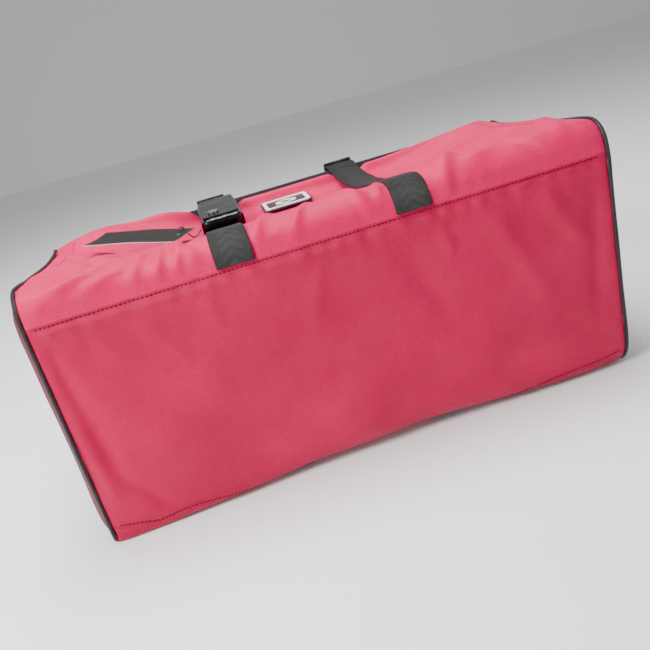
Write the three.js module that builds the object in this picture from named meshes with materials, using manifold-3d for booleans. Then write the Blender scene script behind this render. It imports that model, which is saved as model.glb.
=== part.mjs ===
// Bowling ball bag: a long boxy nylon bag for two balls, lying on its back panel.
// Millimetres, +Z up. +X runs along the bag, -Y is the side of the base panel and
// +Y the side of the zip, so the front panel faces up and the back panel lies on the floor.
import * as THREE from 'three';
import Module from 'manifold-3d';

const wasm = await Module();
wasm.setup();

// ---- Driving dimensions -------------------------------------------------------------
const bagLength = 524;        // panel length between the two end panels
const seamSpan = 206;         // base panel height from seam to seam
const frontSeamZ = 224;       // height of the seam between base panel and front panel
const bagHeight = 287;        // from the base panel to the top panel
const wall = 4;               // padded nylon
const seamGap = 0.4;          // clearance between panels sewn together
const seamAllowance = 1.4;    // room for the front seam, where the cloth leaves the base at a slant
const liningThickness = 1.2;
const liningGap = 0.5;

const webWidth = 34;          // handle webbing
const webThickness = 2.4;
const handleSpan = 164;       // between the two straps of a handle
const handleShift = -4;       // the handles are sewn a little left of the middle
const handleDrop = 150;       // how far a handle loop reaches past its fold
const strapLift = 3;          // room under a strap for the wrap's sleeve
const strapBed = 0.5;         // clearance round a strap that lies in the back panel

const foldY = 70;             // fold line that the mouth flap lifts about
const foldZ = frontSeamZ + 26.6;   // its axis, just above the highest point of the fold line
const flapGap = 0.7;          // clearance between the flap and the fixed panel
const endStrip = 24.5;        // front panel left beside the mouth at each end
const mouthWidth = bagLength - 2 * endStrip;
const gussetSweep = 70;       // degrees that the side gussets span
const gussetThickness = 1.4;

const zipY = bagHeight - 21;  // centre line of the zip
const zipZ = frontSeamZ + 9.5;
const flapEdgeY = zipY - 16;  // where the flap's cloth ends and its zip tape starts
const coilRadius = 1.2;
const coilOffset = 2.2;       // each coil's centre from the zip's centre line
const tapeThickness = 1;
const tapeGap = 0.4;
const zipLength = mouthWidth - 1;
const endTabLength = 9;
const sliderLength = 16;
const sliderWidth = 13;
const sliderX = zipLength / 2 - 15;   // the slider's place when the zip is closed
const plateThickness = 1;
const bridgeHeight = 2.2;
const pullLength = 28;

const pipingRadius = 1.6;
const pipingInset = 1.8;
const endInset = 3.9;         // end panel's edge, inside the piping
const endDome = 6;            // how far an end panel bulges

const ballRadius = 108;
const cradleFoot = 6;         // foam left under each ball
const cradleThickness = 30;
const boardThickness = 3;
const boardGap = 1.2;

// ---- Small helpers ------------------------------------------------------------------
const bag = new THREE.Group();
const halfLength = bagLength / 2;
const strapX = [handleShift - handleSpan / 2, handleShift + handleSpan / 2];
const sides = ['left', 'right'];

const finishes = {
  nylon: { color: 0xb3203f, roughness: 0.55, metalness: 0 },
  endNylon: { color: 0x5a1428, roughness: 0.6, metalness: 0 },
  webbing: { color: 0x232325, roughness: 0.7, metalness: 0 },
  piping: { color: 0x141416, roughness: 0.5, metalness: 0 },
  lining: { color: 0x2b2b30, roughness: 0.8, metalness: 0 },
  zipTape: { color: 0x1a1a1d, roughness: 0.8, metalness: 0 },
  zipCoil: { color: 0x2a2a2e, roughness: 0.4, metalness: 0 },
  metal: { color: 0xb9bbc0, roughness: 0.25, metalness: 1 },
  patent: { color: 0x0d0d0f, roughness: 0.15, metalness: 0 },
  foam: { color: 0x3a3a40, roughness: 0.95, metalness: 0 },
  board: { color: 0x4a4238, roughness: 0.8, metalness: 0 },
  card: { color: 0x151517, roughness: 0.6, metalness: 0 },
  enamel: { color: 0xe8e8ea, roughness: 0.3, metalness: 0.1 },
  blackEnamel: { color: 0x101012, roughness: 0.3, metalness: 0.1 },
};

function addPart(name, geometry, finish) {
  const mesh = new THREE.Mesh(geometry, new THREE.MeshStandardMaterial(finishes[finish]));
  mesh.name = name;
  bag.add(mesh);
  return mesh;
}

// A geometry from indexed triangles, turned inside out if its faces point inwards.
function solidGeometry(points, triangles) {
  let volume = 0;
  for (const [a, b, c] of triangles) {
    volume += points[a].dot(new THREE.Vector3().crossVectors(points[b], points[c]));
  }
  const index = triangles.flatMap(([a, b, c]) => (volume > 0 ? [a, b, c] : [a, c, b]));
  const geometry = new THREE.BufferGeometry();
  geometry.setAttribute('position', new THREE.Float32BufferAttribute(points.flatMap((p) => p.toArray()), 3));
  geometry.setIndex(index);
  geometry.computeVertexNormals();
  return geometry;
}

// A closed sheet of cloth: two skins over the grid us x vs, and a rim round its kept cells.
function sheet(us, vs, outer, inner, keep = () => true) {
  const points = [];
  const ids = new Map();
  const id = (skin, i, j) => {
    const key = `${skin}:${i}:${j}`;
    if (!ids.has(key)) {
      ids.set(key, points.length);
      points.push((skin ? inner : outer)(us[i], vs[j]));
    }
    return ids.get(key);
  };
  const kept = (i, j) => i >= 0 && j >= 0 && i < us.length - 1 && j < vs.length - 1 && keep(us[i], vs[j]);
  const triangles = [];
  const quad = (a, b, c, d) => triangles.push([a, b, c], [a, c, d]);
  for (let i = 0; i < us.length - 1; i += 1) {
    for (let j = 0; j < vs.length - 1; j += 1) {
      if (!kept(i, j)) continue;
      quad(id(0, i, j), id(0, i + 1, j), id(0, i + 1, j + 1), id(0, i, j + 1));
      quad(id(1, i, j), id(1, i, j + 1), id(1, i + 1, j + 1), id(1, i + 1, j));
      const rim = (i0, j0, i1, j1) => quad(id(0, i0, j0), id(1, i0, j0), id(1, i1, j1), id(0, i1, j1));
      if (!kept(i, j - 1)) rim(i, j, i + 1, j);
      if (!kept(i + 1, j)) rim(i + 1, j, i + 1, j + 1);
      if (!kept(i, j + 1)) rim(i + 1, j + 1, i, j + 1);
      if (!kept(i - 1, j)) rim(i, j + 1, i, j);
    }
  }
  return solidGeometry(points, triangles);
}

// A closed ring of round section along a closed list of points in a plane of constant x.
function ringTube(x, outline, radius, ribs) {
  const points = [];
  const triangles = [];
  outline.forEach((p, i) => {
    const before = outline[(i + outline.length - 1) % outline.length];
    const after = outline[(i + 1) % outline.length];
    const along = after.clone().sub(before).normalize();
    for (let k = 0; k < ribs; k += 1) {
      const angle = (2 * Math.PI * k) / ribs;
      const out = radius * Math.cos(angle);
      points.push(new THREE.Vector3(x + radius * Math.sin(angle), p.x + along.y * out, p.y - along.x * out));
    }
  });
  const count = outline.length;
  for (let i = 0; i < count; i += 1) {
    for (let k = 0; k < ribs; k += 1) {
      const a = i * ribs + k;
      const b = i * ribs + ((k + 1) % ribs);
      const c = ((i + 1) % count) * ribs + ((k + 1) % ribs);
      const d = ((i + 1) % count) * ribs + k;
      triangles.push([a, b, c], [a, c, d]);
    }
  }
  return solidGeometry(points, triangles);
}

// A plate whose two skins are domed: rings of the outline shrink towards its middle.
function domedPlate(outline, thickness, dome, place) {
  const scales = [1, 0.88, 0.7, 0.45, 0.2];
  const middle = outline.reduce((sum, p) => sum.add(p), new THREE.Vector2()).divideScalar(outline.length);
  const points = [];
  const triangles = [];
  const count = outline.length;
  const skin = (offset) => {
    const first = points.length;
    for (const scale of scales) {
      for (const p of outline) {
        const q = middle.clone().lerp(p, scale);
        points.push(place(offset + dome * (1 - scale * scale), q.x, q.y));
      }
    }
    points.push(place(offset + dome, middle.x, middle.y));
    return first;
  };
  const low = skin(0);
  const high = skin(thickness);
  const cap = (first, flip) => {
    const add = (a, b, c) => triangles.push(flip ? [a, c, b] : [a, b, c]);
    const centre = first + scales.length * count;
    for (let i = 0; i < count; i += 1) {
      const next = (i + 1) % count;
      for (let ring = 0; ring < scales.length - 1; ring += 1) {
        const a = first + ring * count;
        add(a + i, a + next, a + count + next);
        add(a + i, a + count + next, a + count + i);
      }
      const last = first + (scales.length - 1) * count;
      add(last + i, last + next, centre);
    }
  };
  cap(low, true);
  cap(high, false);
  for (let i = 0; i < count; i += 1) {
    const next = (i + 1) % count;
    triangles.push([low + i, low + next, high + next], [low + i, high + next, high + i]);
  }
  return solidGeometry(points, triangles);
}

function box(x0, x1, y0, y1, z0, z1) {
  const geometry = new THREE.BoxGeometry(x1 - x0, y1 - y0, z1 - z0);
  geometry.translate((x0 + x1) / 2, (y0 + y1) / 2, (z0 + z1) / 2);
  return geometry;
}

// A flat outline drawn in Y and Z, as thick as x1 - x0.
function slabAcrossX(outline, x0, x1) {
  const geometry = new THREE.ExtrudeGeometry(new THREE.Shape(outline), { depth: x1 - x0, bevelEnabled: false });
  geometry.applyMatrix4(new THREE.Matrix4().makeBasis(
    new THREE.Vector3(0, 1, 0),
    new THREE.Vector3(0, 0, 1),
    new THREE.Vector3(1, 0, 0),
  ));
  geometry.translate(x0, 0, 0);
  return geometry;
}

function roundedRectangle(width, height, radius) {
  const shape = new THREE.Shape();
  const w = width / 2;
  const h = height / 2;
  shape.moveTo(radius - w, -h);
  shape.lineTo(w - radius, -h);
  shape.absarc(w - radius, radius - h, radius, -Math.PI / 2, 0);
  shape.absarc(w - radius, h - radius, radius, 0, Math.PI / 2);
  shape.absarc(radius - w, h - radius, radius, Math.PI / 2, Math.PI);
  shape.absarc(radius - w, radius - h, radius, Math.PI, 1.5 * Math.PI);
  return shape;
}

// ---- Booleans -----------------------------------------------------------------------
function toManifold(geometry) {
  const position = geometry.getAttribute('position');
  const keys = new Map();
  const vertices = [];
  const order = [];
  const source = geometry.index ? Array.from(geometry.index.array) : [...Array(position.count).keys()];
  for (const i of source) {
    const p = [position.getX(i), position.getY(i), position.getZ(i)];
    const key = p.map((value) => value.toFixed(4)).join();
    if (!keys.has(key)) {
      keys.set(key, vertices.length / 3);
      vertices.push(...p);
    }
    order.push(keys.get(key));
  }
  const vertProperties = new Float32Array(vertices);
  return new wasm.Manifold(new wasm.Mesh({ numProp: 3, vertProperties, triVerts: new Uint32Array(order) }));
}

function fromManifold(solid) {
  const mesh = solid.getMesh();
  const geometry = new THREE.BufferGeometry();
  geometry.setAttribute('position', new THREE.BufferAttribute(mesh.vertProperties, 3));
  geometry.setIndex(new THREE.BufferAttribute(mesh.triVerts, 1));
  return geometry;
}

function join(...geometries) {
  return fromManifold(geometries.map(toManifold).reduce((sum, solid) => sum.add(solid)));
}

// ---- Outlines of the bag in Y and Z -------------------------------------------------
const point = (y, z) => new THREE.Vector2(y, z);

// Front panel, from the base seam to the zip: heights above the base seam, first at the long
// bottom edge, then over the flap at even shares of its run. The fifth point is the fold line.
const edgeYs = [0, 4, 14, 30, foldY];
const flapYs = [2 / 9, 4 / 9, 2 / 3, 5 / 6, 1].map((share) => foldY + share * (flapEdgeY - foldY));
const outlineOver = (heights) => new THREE.SplineCurve(
  [...edgeYs, ...flapYs].map((y, i) => point(y, frontSeamZ + heights[i])),
);
const frontMiddle = outlineOver([0, 14, 23, 25, 18, 7, -1, -4.5, -3, 4]);
const frontEnds = outlineOver([0, 16, 27, 30, 26, 22, 18, 15.5, 14, 13]);
const foldT = 4 / 9;

// 0 in the middle of the bag, 1 beside the end panels, where the piping holds the cloth up.
function endness(x) {
  return THREE.MathUtils.smoothstep(Math.abs(x), 0.29 * bagLength, 0.46 * bagLength);
}

function frontPoint(x, t, depth) {
  const at = (s) => frontMiddle.getPoint(s).lerp(frontEnds.getPoint(s), endness(x));
  const p = at(t);
  const along = at(Math.min(t + 0.004, 1)).sub(at(Math.max(t - 0.004, 0))).normalize();
  return new THREE.Vector3(x, p.x + along.y * depth, p.y - along.x * depth);
}

// A path of lines and arcs as points, with the inward normal at each.
function insetPath(path, divisions, inset) {
  const points = path.getPoints(divisions);
  return points.map((p, i) => {
    const before = points[Math.max(i - 1, 0)];
    const after = points[Math.min(i + 1, points.length - 1)];
    const along = after.clone().sub(before).normalize();
    return new THREE.Vector2(p.x - along.y * inset, p.y + along.x * inset);
  });
}

const backSeamZ = frontSeamZ - seamSpan;
const backCorner = 24;

// Back panel: from the base seam, round the corner, along the floor and up to the top seam.
const backPath = new THREE.Path();
backPath.moveTo(0, backSeamZ - seamGap);
backPath.quadraticCurveTo(0, 0, backCorner, 0);
backPath.lineTo(bagHeight - backCorner, 0);
backPath.quadraticCurveTo(bagHeight, 0, bagHeight, backCorner);

// Top panel: from the back seam up to the back zip tape.
const topEdgeY = zipY + 13.4;
const topEdgeZ = zipZ - 3;
const topPath = new THREE.Path();
topPath.moveTo(bagHeight, backCorner + seamGap);
topPath.lineTo(bagHeight, topEdgeZ - 16);
topPath.quadraticCurveTo(bagHeight, topEdgeZ - 4, topEdgeY, topEdgeZ);

// Past the ends of the zip the top panel reaches on to the front panel.
const topEndPath = topPath.clone();
topEndPath.lineTo(flapEdgeY + 1.4, frontSeamZ + 12.4);

const range = (low, high, count) => Array.from({ length: count + 1 }, (_, i) => low + ((high - low) * i) / count);

// ---- Panels -------------------------------------------------------------------------
function makeBasePanel() {
  const z0 = backSeamZ + seamGap / 2;
  const z1 = frontSeamZ - seamAllowance;
  addPart('base_panel', box(-halfLength, halfLength, 0, wall, z0, z1), 'nylon');
}

const mouthEdge = mouthWidth / 2 + flapGap;
const frontXs = [-halfLength, -mouthEdge, ...range(-0.4 * bagLength, 0.4 * bagLength, 16), mouthEdge, halfLength];
const frontTs = [...range(0, foldT, 12).slice(0, -1), ...range(foldT, 1, 14)];

function makeFrontPanel() {
  const besideMouth = (x) => x < -mouthEdge || x >= mouthEdge;
  const keep = (x, t) => t < foldT || besideMouth(x);
  const skin = (depth) => (x, t) => frontPoint(x, t, depth);
  addPart('front_panel', sheet(frontXs, frontTs, skin(0), skin(wall), keep), 'nylon');
}

const flapHalf = mouthWidth / 2;
const flapXs = range(-flapHalf, flapHalf, 20);
const flapStartT = foldT + 0.006;

function makeMouthFlap() {
  const ts = range(flapStartT, 1, 16);
  const skin = (depth) => (x, t) => frontPoint(x, t, depth);
  addPart('mouth_flap', sheet(flapXs, ts, skin(0), skin(wall)), 'nylon');
  const inside = wall + 3 * liningGap;
  const xs = range(-flapHalf + 5, flapHalf - 5, 16);
  const liningTs = range(foldT + 0.02, 0.985, 12);
  addPart('lining_flap', sheet(xs, liningTs, skin(inside), skin(inside + liningThickness)), 'lining');
}

// How deep the back panel is dished under the two straps that lie along it.
function strapDish(x) {
  const near = Math.min(...strapX.map((centre) => Math.abs(x - centre)));
  return near < webWidth / 2 + strapBed + 0.01 ? webThickness + strapBed : 0;
}

function dishEdges() {
  const half = webWidth / 2 + strapBed;
  return strapX.flatMap((centre) => [centre - half - 2, centre - half, centre + half, centre + half + 2]);
}

function pathSkin(path, divisions, depthAt) {
  const near = insetPath(path, divisions, 0);
  const far = insetPath(path, divisions, 1);
  return (x, j) => {
    const depth = depthAt(x);
    const p = near[j].clone().lerp(far[j], depth);
    return new THREE.Vector3(x, p.x, p.y);
  };
}

function makeBackPanel() {
  const xs = [-halfLength, ...dishEdges(), halfLength];
  const js = insetPath(backPath, 8, 0).map((_, j) => j);
  const outer = pathSkin(backPath, 8, strapDish);
  const inner = pathSkin(backPath, 8, (x) => strapDish(x) + wall);
  addPart('back_panel', sheet(xs, js, outer, inner), 'nylon');
}

function makeTopPanel() {
  const beside = zipLength / 2 + endTabLength + 2 * seamGap;
  const xs = [-halfLength, ...range(-beside, beside, 3), halfLength];
  const js = insetPath(topEndPath, 8, 0).map((_, j) => j);
  const keep = (x, j) => j < js.length - 2 || x < -beside || x >= beside;
  const skin = (depth) => pathSkin(topEndPath, 8, () => depth);
  addPart('top_panel', sheet(xs, js, skin(0), skin(wall), keep), 'nylon');
}

// The bag's whole outline at its ends, as one closed loop, shrunk by an inset.
function endOutline(inset) {
  const front = range(0, 1, 22).map((t) => {
    const p = frontPoint(halfLength, t, inset);
    return point(p.y, p.z);
  });
  const top = insetPath(topEndPath, 5, inset).reverse();
  const back = insetPath(backPath, 8, inset).reverse();
  const loop = [...front, ...top, ...back];
  return loop.filter((p, i) => p.distanceTo(loop[(i + 1) % loop.length]) > 1);
}

function makeEnds() {
  sides.forEach((side, k) => {
    const sign = k ? 1 : -1;
    const place = (out, y, z) => new THREE.Vector3(sign * (halfLength + seamGap + out), y, z);
    const plate = domedPlate(endOutline(endInset), wall, endDome, place);
    addPart(`end_panel_${side}`, plate, 'endNylon');
    const x = sign * (halfLength + seamGap + pipingRadius);
    addPart(`piping_${side}`, ringTube(x, endOutline(pipingInset), pipingRadius, 6), 'piping');
  });
}

// Fan-shaped cloth at each end of the mouth. It swings out with the flap and closes the gap.
function makeGussets() {
  const pivot = point(foldY, foldZ);
  const top = range(foldT + 0.03, 0.98, 10).map((t) => {
    const p = frontPoint(flapHalf, t, wall + liningGap);
    return point(p.y, p.z);
  });
  const sweep = THREE.MathUtils.degToRad(-gussetSweep);
  const far = top[top.length - 1];
  const arc = range(0, sweep, 10).slice(1, -1).map((angle) => far.clone().rotateAround(pivot, angle));
  const bottom = top.map((p) => p.clone().rotateAround(pivot, sweep)).reverse();
  const near = range(sweep, 0, 4).slice(1, -1).map((angle) => top[0].clone().rotateAround(pivot, angle));
  const outline = [...top, ...arc, ...bottom, ...near];
  const x = flapHalf - 1 - gussetThickness;
  addPart('gusset_right', slabAcrossX(outline, x, x + gussetThickness), 'lining');
  addPart('gusset_left', slabAcrossX(outline, -x - gussetThickness, -x), 'lining');
}

// ---- Inside -------------------------------------------------------------------------
function makeLining() {
  const inside = wall + webThickness + strapBed + liningGap;
  const half = halfLength - 5;
  const front = range(foldT - 0.02, 0, 10).map((t) => {
    const p = frontPoint(0, t, wall + liningGap);
    const q = frontPoint(0, t, wall + liningGap + liningThickness);
    return [point(p.y, p.z), point(q.y, q.z)];
  });
  const near = insetPath(backPath, 6, inside);
  const far = insetPath(backPath, 6, inside + liningThickness);
  const topNear = insetPath(topPath, 4, wall + liningGap);
  const topFar = insetPath(topPath, 4, wall + liningGap + liningThickness);
  const back = near.map((p, i) => [p, far[i]]).filter((_, i) => i > 1 && i < near.length - 2);
  const top = topNear.map((p, i) => [p, topFar[i]]).filter((_, i) => i > 0);
  const pairs = [...front, ...back, ...top];
  const js = pairs.map((_, j) => j);
  const skin = (k) => (x, j) => new THREE.Vector3(x, pairs[j][k].x, pairs[j][k].y);
  addPart('lining_wrap', sheet([-half, half], js, skin(0), skin(1)), 'lining');
}

function makeLiningEnds() {
  const outline = endOutline(wall + webThickness + strapBed + 3 * liningGap + liningThickness);
  const x = halfLength - 3;
  addPart('lining_end_left', slabAcrossX(outline, -x, liningThickness - x), 'lining');
  addPart('lining_end_right', slabAcrossX(outline, x - liningThickness, x), 'lining');
}

const liningInner = wall + webThickness + strapBed + liningGap + liningThickness;
const boardY = liningInner + boardGap;
const cradleY = boardY + boardThickness + boardGap;
const insideMiddleZ = frontSeamZ / 2 + 12;

function makeBaseBoard() {
  const margin = 12;
  const z0 = backSeamZ + margin;
  const z1 = frontSeamZ - margin;
  const half = halfLength - margin;
  addPart('base_board', box(-half, half, boardY, boardY + boardThickness, z0, z1), 'board');
}

// Foam block with two round cups that hold the balls apart.
function makeBallCradle() {
  const half = 2 * ballRadius + 12;
  const depth = insideMiddleZ - 32;
  const centres = [-ballRadius - 4, ballRadius + 4];
  const ballY = cradleY + cradleFoot + ballRadius;
  const height = (x, z) => {
    const drop = centres.map((cx) => {
      const reach = ballRadius ** 2 - (x - cx) ** 2 - (z - insideMiddleZ) ** 2;
      return reach > 0 ? ballY - Math.sqrt(reach) : Infinity;
    });
    return Math.min(cradleY + cradleThickness, ...drop);
  };
  const top = (x, z) => new THREE.Vector3(x, height(x, z), z);
  const foot = (x, z) => new THREE.Vector3(x, cradleY, z);
  const xs = range(-half, half, 28);
  const zs = range(insideMiddleZ - depth, insideMiddleZ + depth, 12);
  addPart('ball_cradle', sheet(xs, zs, top, foot), 'foam');
}

// ---- Zip ----------------------------------------------------------------------------
function slopedTape(name, y0, z0, y1, z1) {
  const half = zipLength / 2;
  const skin = (drop) => (x, k) => new THREE.Vector3(x, k ? y1 : y0, (k ? z1 : z0) - drop);
  addPart(name, sheet([-half, half], [0, 1], skin(0), skin(tapeThickness)), 'zipTape');
}

function coil(name, y) {
  const half = zipLength / 2;
  const geometry = new THREE.CylinderGeometry(coilRadius, coilRadius, 2 * half, 10);
  geometry.rotateZ(Math.PI / 2);
  geometry.translate(0, y, zipZ);
  addPart(name, geometry, 'zipCoil');
}

function makeZip() {
  const coilEdge = coilOffset + coilRadius + tapeGap;
  const flapEdge = flapEdgeY + 0.8;
  slopedTape('zip_tape_front', flapEdge, frontSeamZ + 3.4, zipY - coilEdge, zipZ + 0.5);
  slopedTape('zip_tape_back', zipY + coilEdge, zipZ + 0.5, topEdgeY - 1.4, topEdgeZ + 0.4);
  coil('zip_coil_front', zipY - coilOffset);
  coil('zip_coil_back', zipY + coilOffset);
  const tab = roundedRectangle(endTabLength, 18, 3);
  sides.forEach((side, k) => {
    const geometry = new THREE.ExtrudeGeometry(tab, { depth: 0.9, bevelEnabled: false, curveSegments: 4 });
    geometry.translate((k ? 1 : -1) * (zipLength / 2 + seamGap + endTabLength / 2), zipY, zipZ + 1.6);
    addPart(`zip_end_tab_${side}`, geometry, 'piping');
  });
}

const plateZ = zipZ + coilRadius + 0.35;
const barZ = plateZ + plateThickness + bridgeHeight - 0.8;

// Plate over both coils, a post between them and a foot that holds the front coil only.
function makeSlider() {
  const x0 = sliderX - sliderLength / 2;
  const x1 = sliderX + sliderLength / 2;
  const low = zipZ - coilRadius - 0.35;
  const top = plateZ + plateThickness;
  const plate = box(x0, x1, zipY - sliderWidth / 2, zipY + sliderWidth / 2, plateZ, top);
  const post = box(x0 + 2, x1 - 6, zipY - 0.45, zipY + 0.45, low - 1, plateZ + 0.5);
  const foot = box(x0 + 1, x1 - 1, zipY - coilOffset - coilRadius + 0.1, zipY + 0.45, low - 1, low);
  const legs = [-5, 5].map((dx) => box(sliderX + dx - 1, sliderX + dx + 1, zipY - 1.5, zipY + 1.5, top - 0.3, barZ + 0.8));
  const bar = box(sliderX - 6, sliderX + 6, zipY - 1.5, zipY + 1.5, barZ, barZ + 0.8);
  addPart('zip_slider', join(plate, post, foot, ...legs, bar), 'metal');
}

// Tab with a square eye: its crossbar passes under the slider's bridge.
function makePull() {
  const thickness = 0.8;
  const z0 = plateZ + plateThickness + (barZ - plateZ - plateThickness - thickness) / 2;
  const shape = new THREE.Shape();
  shape.moveTo(-0.4, -3.6);
  shape.lineTo(8, -3.6);
  shape.lineTo(pullLength - 3, -4.6);
  shape.quadraticCurveTo(pullLength, -4.6, pullLength, -2);
  shape.lineTo(pullLength, 2);
  shape.quadraticCurveTo(pullLength, 4.6, pullLength - 3, 4.6);
  shape.lineTo(8, 3.6);
  shape.lineTo(-0.4, 3.6);
  shape.closePath();
  const eye = new THREE.Path();
  eye.moveTo(0.4, -2);
  eye.lineTo(0.4, 2);
  eye.lineTo(6.8, 2);
  eye.lineTo(6.8, -2);
  eye.closePath();
  shape.holes.push(eye);
  const geometry = new THREE.ExtrudeGeometry(shape, { depth: thickness, bevelEnabled: false, curveSegments: 4 });
  geometry.translate(sliderX, zipY, z0);
  addPart('zip_pull', geometry, 'metal');
}

// ---- Handles ------------------------------------------------------------------------
// Webbing across x along a list of points in Y and Z; it lies on the left of its path.
function strap(name, centreX, points) {
  const skin = (offset) => (u, j) => {
    const before = points[Math.max(j - 1, 0)];
    const after = points[Math.min(j + 1, points.length - 1)];
    const along = after.clone().sub(before).normalize();
    const p = points[j];
    return new THREE.Vector3(centreX + u, p.x - along.y * offset, p.y + along.x * offset);
  };
  const js = points.map((_, j) => j);
  addPart(name, sheet([-webWidth / 2, webWidth / 2], js, skin(webThickness), skin(0)), 'webbing');
}

const strapOverZipZ = barZ + 0.8 + 0.5;
const legEndY = bagHeight - 3;

function surfacePoints(t0, t1, count) {
  return range(t0, t1, count).map((t) => {
    const p = frontPoint(0, t, -strapLift);
    return point(p.y, p.z);
  });
}

// The sleeve of the wrap stands on this line, over the hollow of the flap.
const wrapStart = point(flapEdgeY - 90, frontSeamZ - 0.6);
const wrapEnd = point(flapEdgeY - 6, frontSeamZ + 3.6);
const sleeveFloor = 1.2;
const strapInSleeve = sleeveFloor + 0.6;

function makeFrontStraps() {
  const roots = surfacePoints(0.012, foldT - 0.006, 10);
  const overZip = [
    point(zipY - 10, strapOverZipZ - 2.5), point(zipY - 5, strapOverZipZ - 0.3),
    point(zipY, strapOverZipZ), point(legEndY, strapOverZipZ),
  ];
  const throughWrap = [
    ...surfacePoints(flapStartT, 0.645, 7),
    point(wrapStart.x - 2, wrapStart.y + strapInSleeve), point(wrapEnd.x + 2, wrapEnd.y + strapInSleeve),
  ];
  const alongFlap = [...surfacePoints(flapStartT, 0.9, 13), point(flapEdgeY - 2, strapOverZipZ - 7.5)];
  strapX.forEach((x, k) => {
    strap(`handle_front_root_${sides[k]}`, x, roots);
    strap(`handle_front_leg_${sides[k]}`, x, [...(k ? alongFlap : throughWrap), ...overZip]);
  });
}

// A handle loop lies flat: two legs and a bowed grip, with its webbing's width in its own plane.
function loopSheet(place) {
  const curve = new THREE.CatmullRomCurve3([
    new THREE.Vector3(-0.5 * handleSpan, 0, 0), new THREE.Vector3(-0.49 * handleSpan, 0.35 * handleDrop, 0),
    new THREE.Vector3(-0.42 * handleSpan, 0.66 * handleDrop, 0), new THREE.Vector3(-0.22 * handleSpan, 0.87 * handleDrop, 0),
    new THREE.Vector3(0, 0.92 * handleDrop, 0), new THREE.Vector3(0.22 * handleSpan, 0.87 * handleDrop, 0),
    new THREE.Vector3(0.42 * handleSpan, 0.66 * handleDrop, 0), new THREE.Vector3(0.49 * handleSpan, 0.35 * handleDrop, 0),
    new THREE.Vector3(0.5 * handleSpan, 0, 0),
  ]);
  const steps = 36;
  const points = curve.getPoints(steps);
  const across = points.map((_, j) => {
    if (j === 0 || j === steps) return new THREE.Vector3(1, 0, 0);
    const along = points[j + 1].clone().sub(points[j - 1]).normalize();
    return new THREE.Vector3(along.y, -along.x, 0);
  });
  across[steps].x = -1;
  const skin = (thickness) => (u, j) => {
    const p = points[j].clone().addScaledVector(across[j], u);
    return place(p.x + handleShift, p.y, thickness);
  };
  const js = points.map((_, j) => j);
  return sheet([-webWidth / 2, webWidth / 2], js, skin(0), skin(webThickness));
}

function makeFrontLoop() {
  const y = bagHeight + 1.5;
  const place = (x, drop, thick) => new THREE.Vector3(x, y + thick, strapOverZipZ - 0.5 - drop);
  addPart('handle_front_loop', loopSheet(place), 'webbing');
}

const backHingeY = bagHeight + 1.5;

function makeBackStraps() {
  const stretch = insetPath(backPath, 8, 0).filter((p) => p.x < bagHeight - backCorner + 1);
  const points = [...stretch.slice(1), point(backHingeY - 0.5, 0)];
  strapX.forEach((x, k) => strap(`handle_back_strap_${sides[k]}`, x, points));
}

function makeBackLoop() {
  const place = (x, drop, thick) => new THREE.Vector3(x, backHingeY + 0.5 + drop, webThickness - thick);
  addPart('handle_back_loop', loopSheet(place), 'webbing');
}

// ---- Wrap on the left leg -----------------------------------------------------------
const wrapWidth = webWidth + 12;
const wrapHeight = 14;
const wrapOffset = 4;          // the sleeve is wider than the strap, towards the middle
const slotHeight = 7;
const wrapFlapThickness = 1.8;

function placeOnWrap(geometry) {
  const run = wrapEnd.clone().sub(wrapStart);
  geometry.rotateX(Math.atan2(run.y, run.x));
  geometry.translate(strapX[0] + wrapOffset, wrapStart.x, wrapStart.y);
  return geometry;
}

function makeWrap() {
  const half = wrapWidth / 2;
  const length = wrapEnd.distanceTo(wrapStart);
  const round = 5;
  const shape = new THREE.Shape();
  shape.moveTo(-half, 0);
  shape.lineTo(half, 0);
  shape.lineTo(half, wrapHeight - round);
  shape.quadraticCurveTo(half, wrapHeight, half - round, wrapHeight);
  shape.lineTo(round - half, wrapHeight);
  shape.quadraticCurveTo(-half, wrapHeight, -half, wrapHeight - round);
  shape.closePath();
  const slot = new THREE.Path();
  const slotHalf = webWidth / 2 + 0.6;
  slot.moveTo(-slotHalf - wrapOffset, sleeveFloor);
  slot.lineTo(-slotHalf - wrapOffset, slotHeight);
  slot.lineTo(slotHalf - wrapOffset, slotHeight);
  slot.lineTo(slotHalf - wrapOffset, sleeveFloor);
  slot.closePath();
  shape.holes.push(slot);
  const sleeve = new THREE.ExtrudeGeometry(shape, { depth: length, bevelEnabled: false, curveSegments: 5 });
  sleeve.rotateX(Math.PI / 2);
  sleeve.translate(0, length, 0);
  addPart('wrap_sleeve', placeOnWrap(sleeve), 'patent');

  const snapX = -7;
  const snapY = 16;
  const snap = (name, radius, height, z) => {
    const geometry = new THREE.CylinderGeometry(radius, radius, height, 20);
    geometry.rotateX(Math.PI / 2);
    geometry.translate(snapX, snapY, z + height / 2);
    addPart(name, placeOnWrap(geometry), 'metal');
  };
  const socketHeight = 1.2;
  const flapZ = wrapHeight + socketHeight + 0.7;
  snap('wrap_snap_socket', 4.5, socketHeight, wrapHeight + 0.3);
  const flapShape = roundedRectangle(wrapWidth - 6, length - 2, 5);
  const flap = new THREE.ExtrudeGeometry(flapShape, {
    depth: wrapFlapThickness, bevelEnabled: false, curveSegments: 4,
  });
  flap.translate(0, length / 2, flapZ);
  addPart('wrap_flap', placeOnWrap(flap), 'patent');
  snap('wrap_snap_cap', 6, 1.8, flapZ + wrapFlapThickness + 0.3);
}

// ---- Badge --------------------------------------------------------------------------
function tiltOnFlap(geometry, y, z, tilt) {
  geometry.rotateX(THREE.MathUtils.degToRad(tilt));
  geometry.translate(handleShift - 2, y, z);
  return geometry;
}

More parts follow.
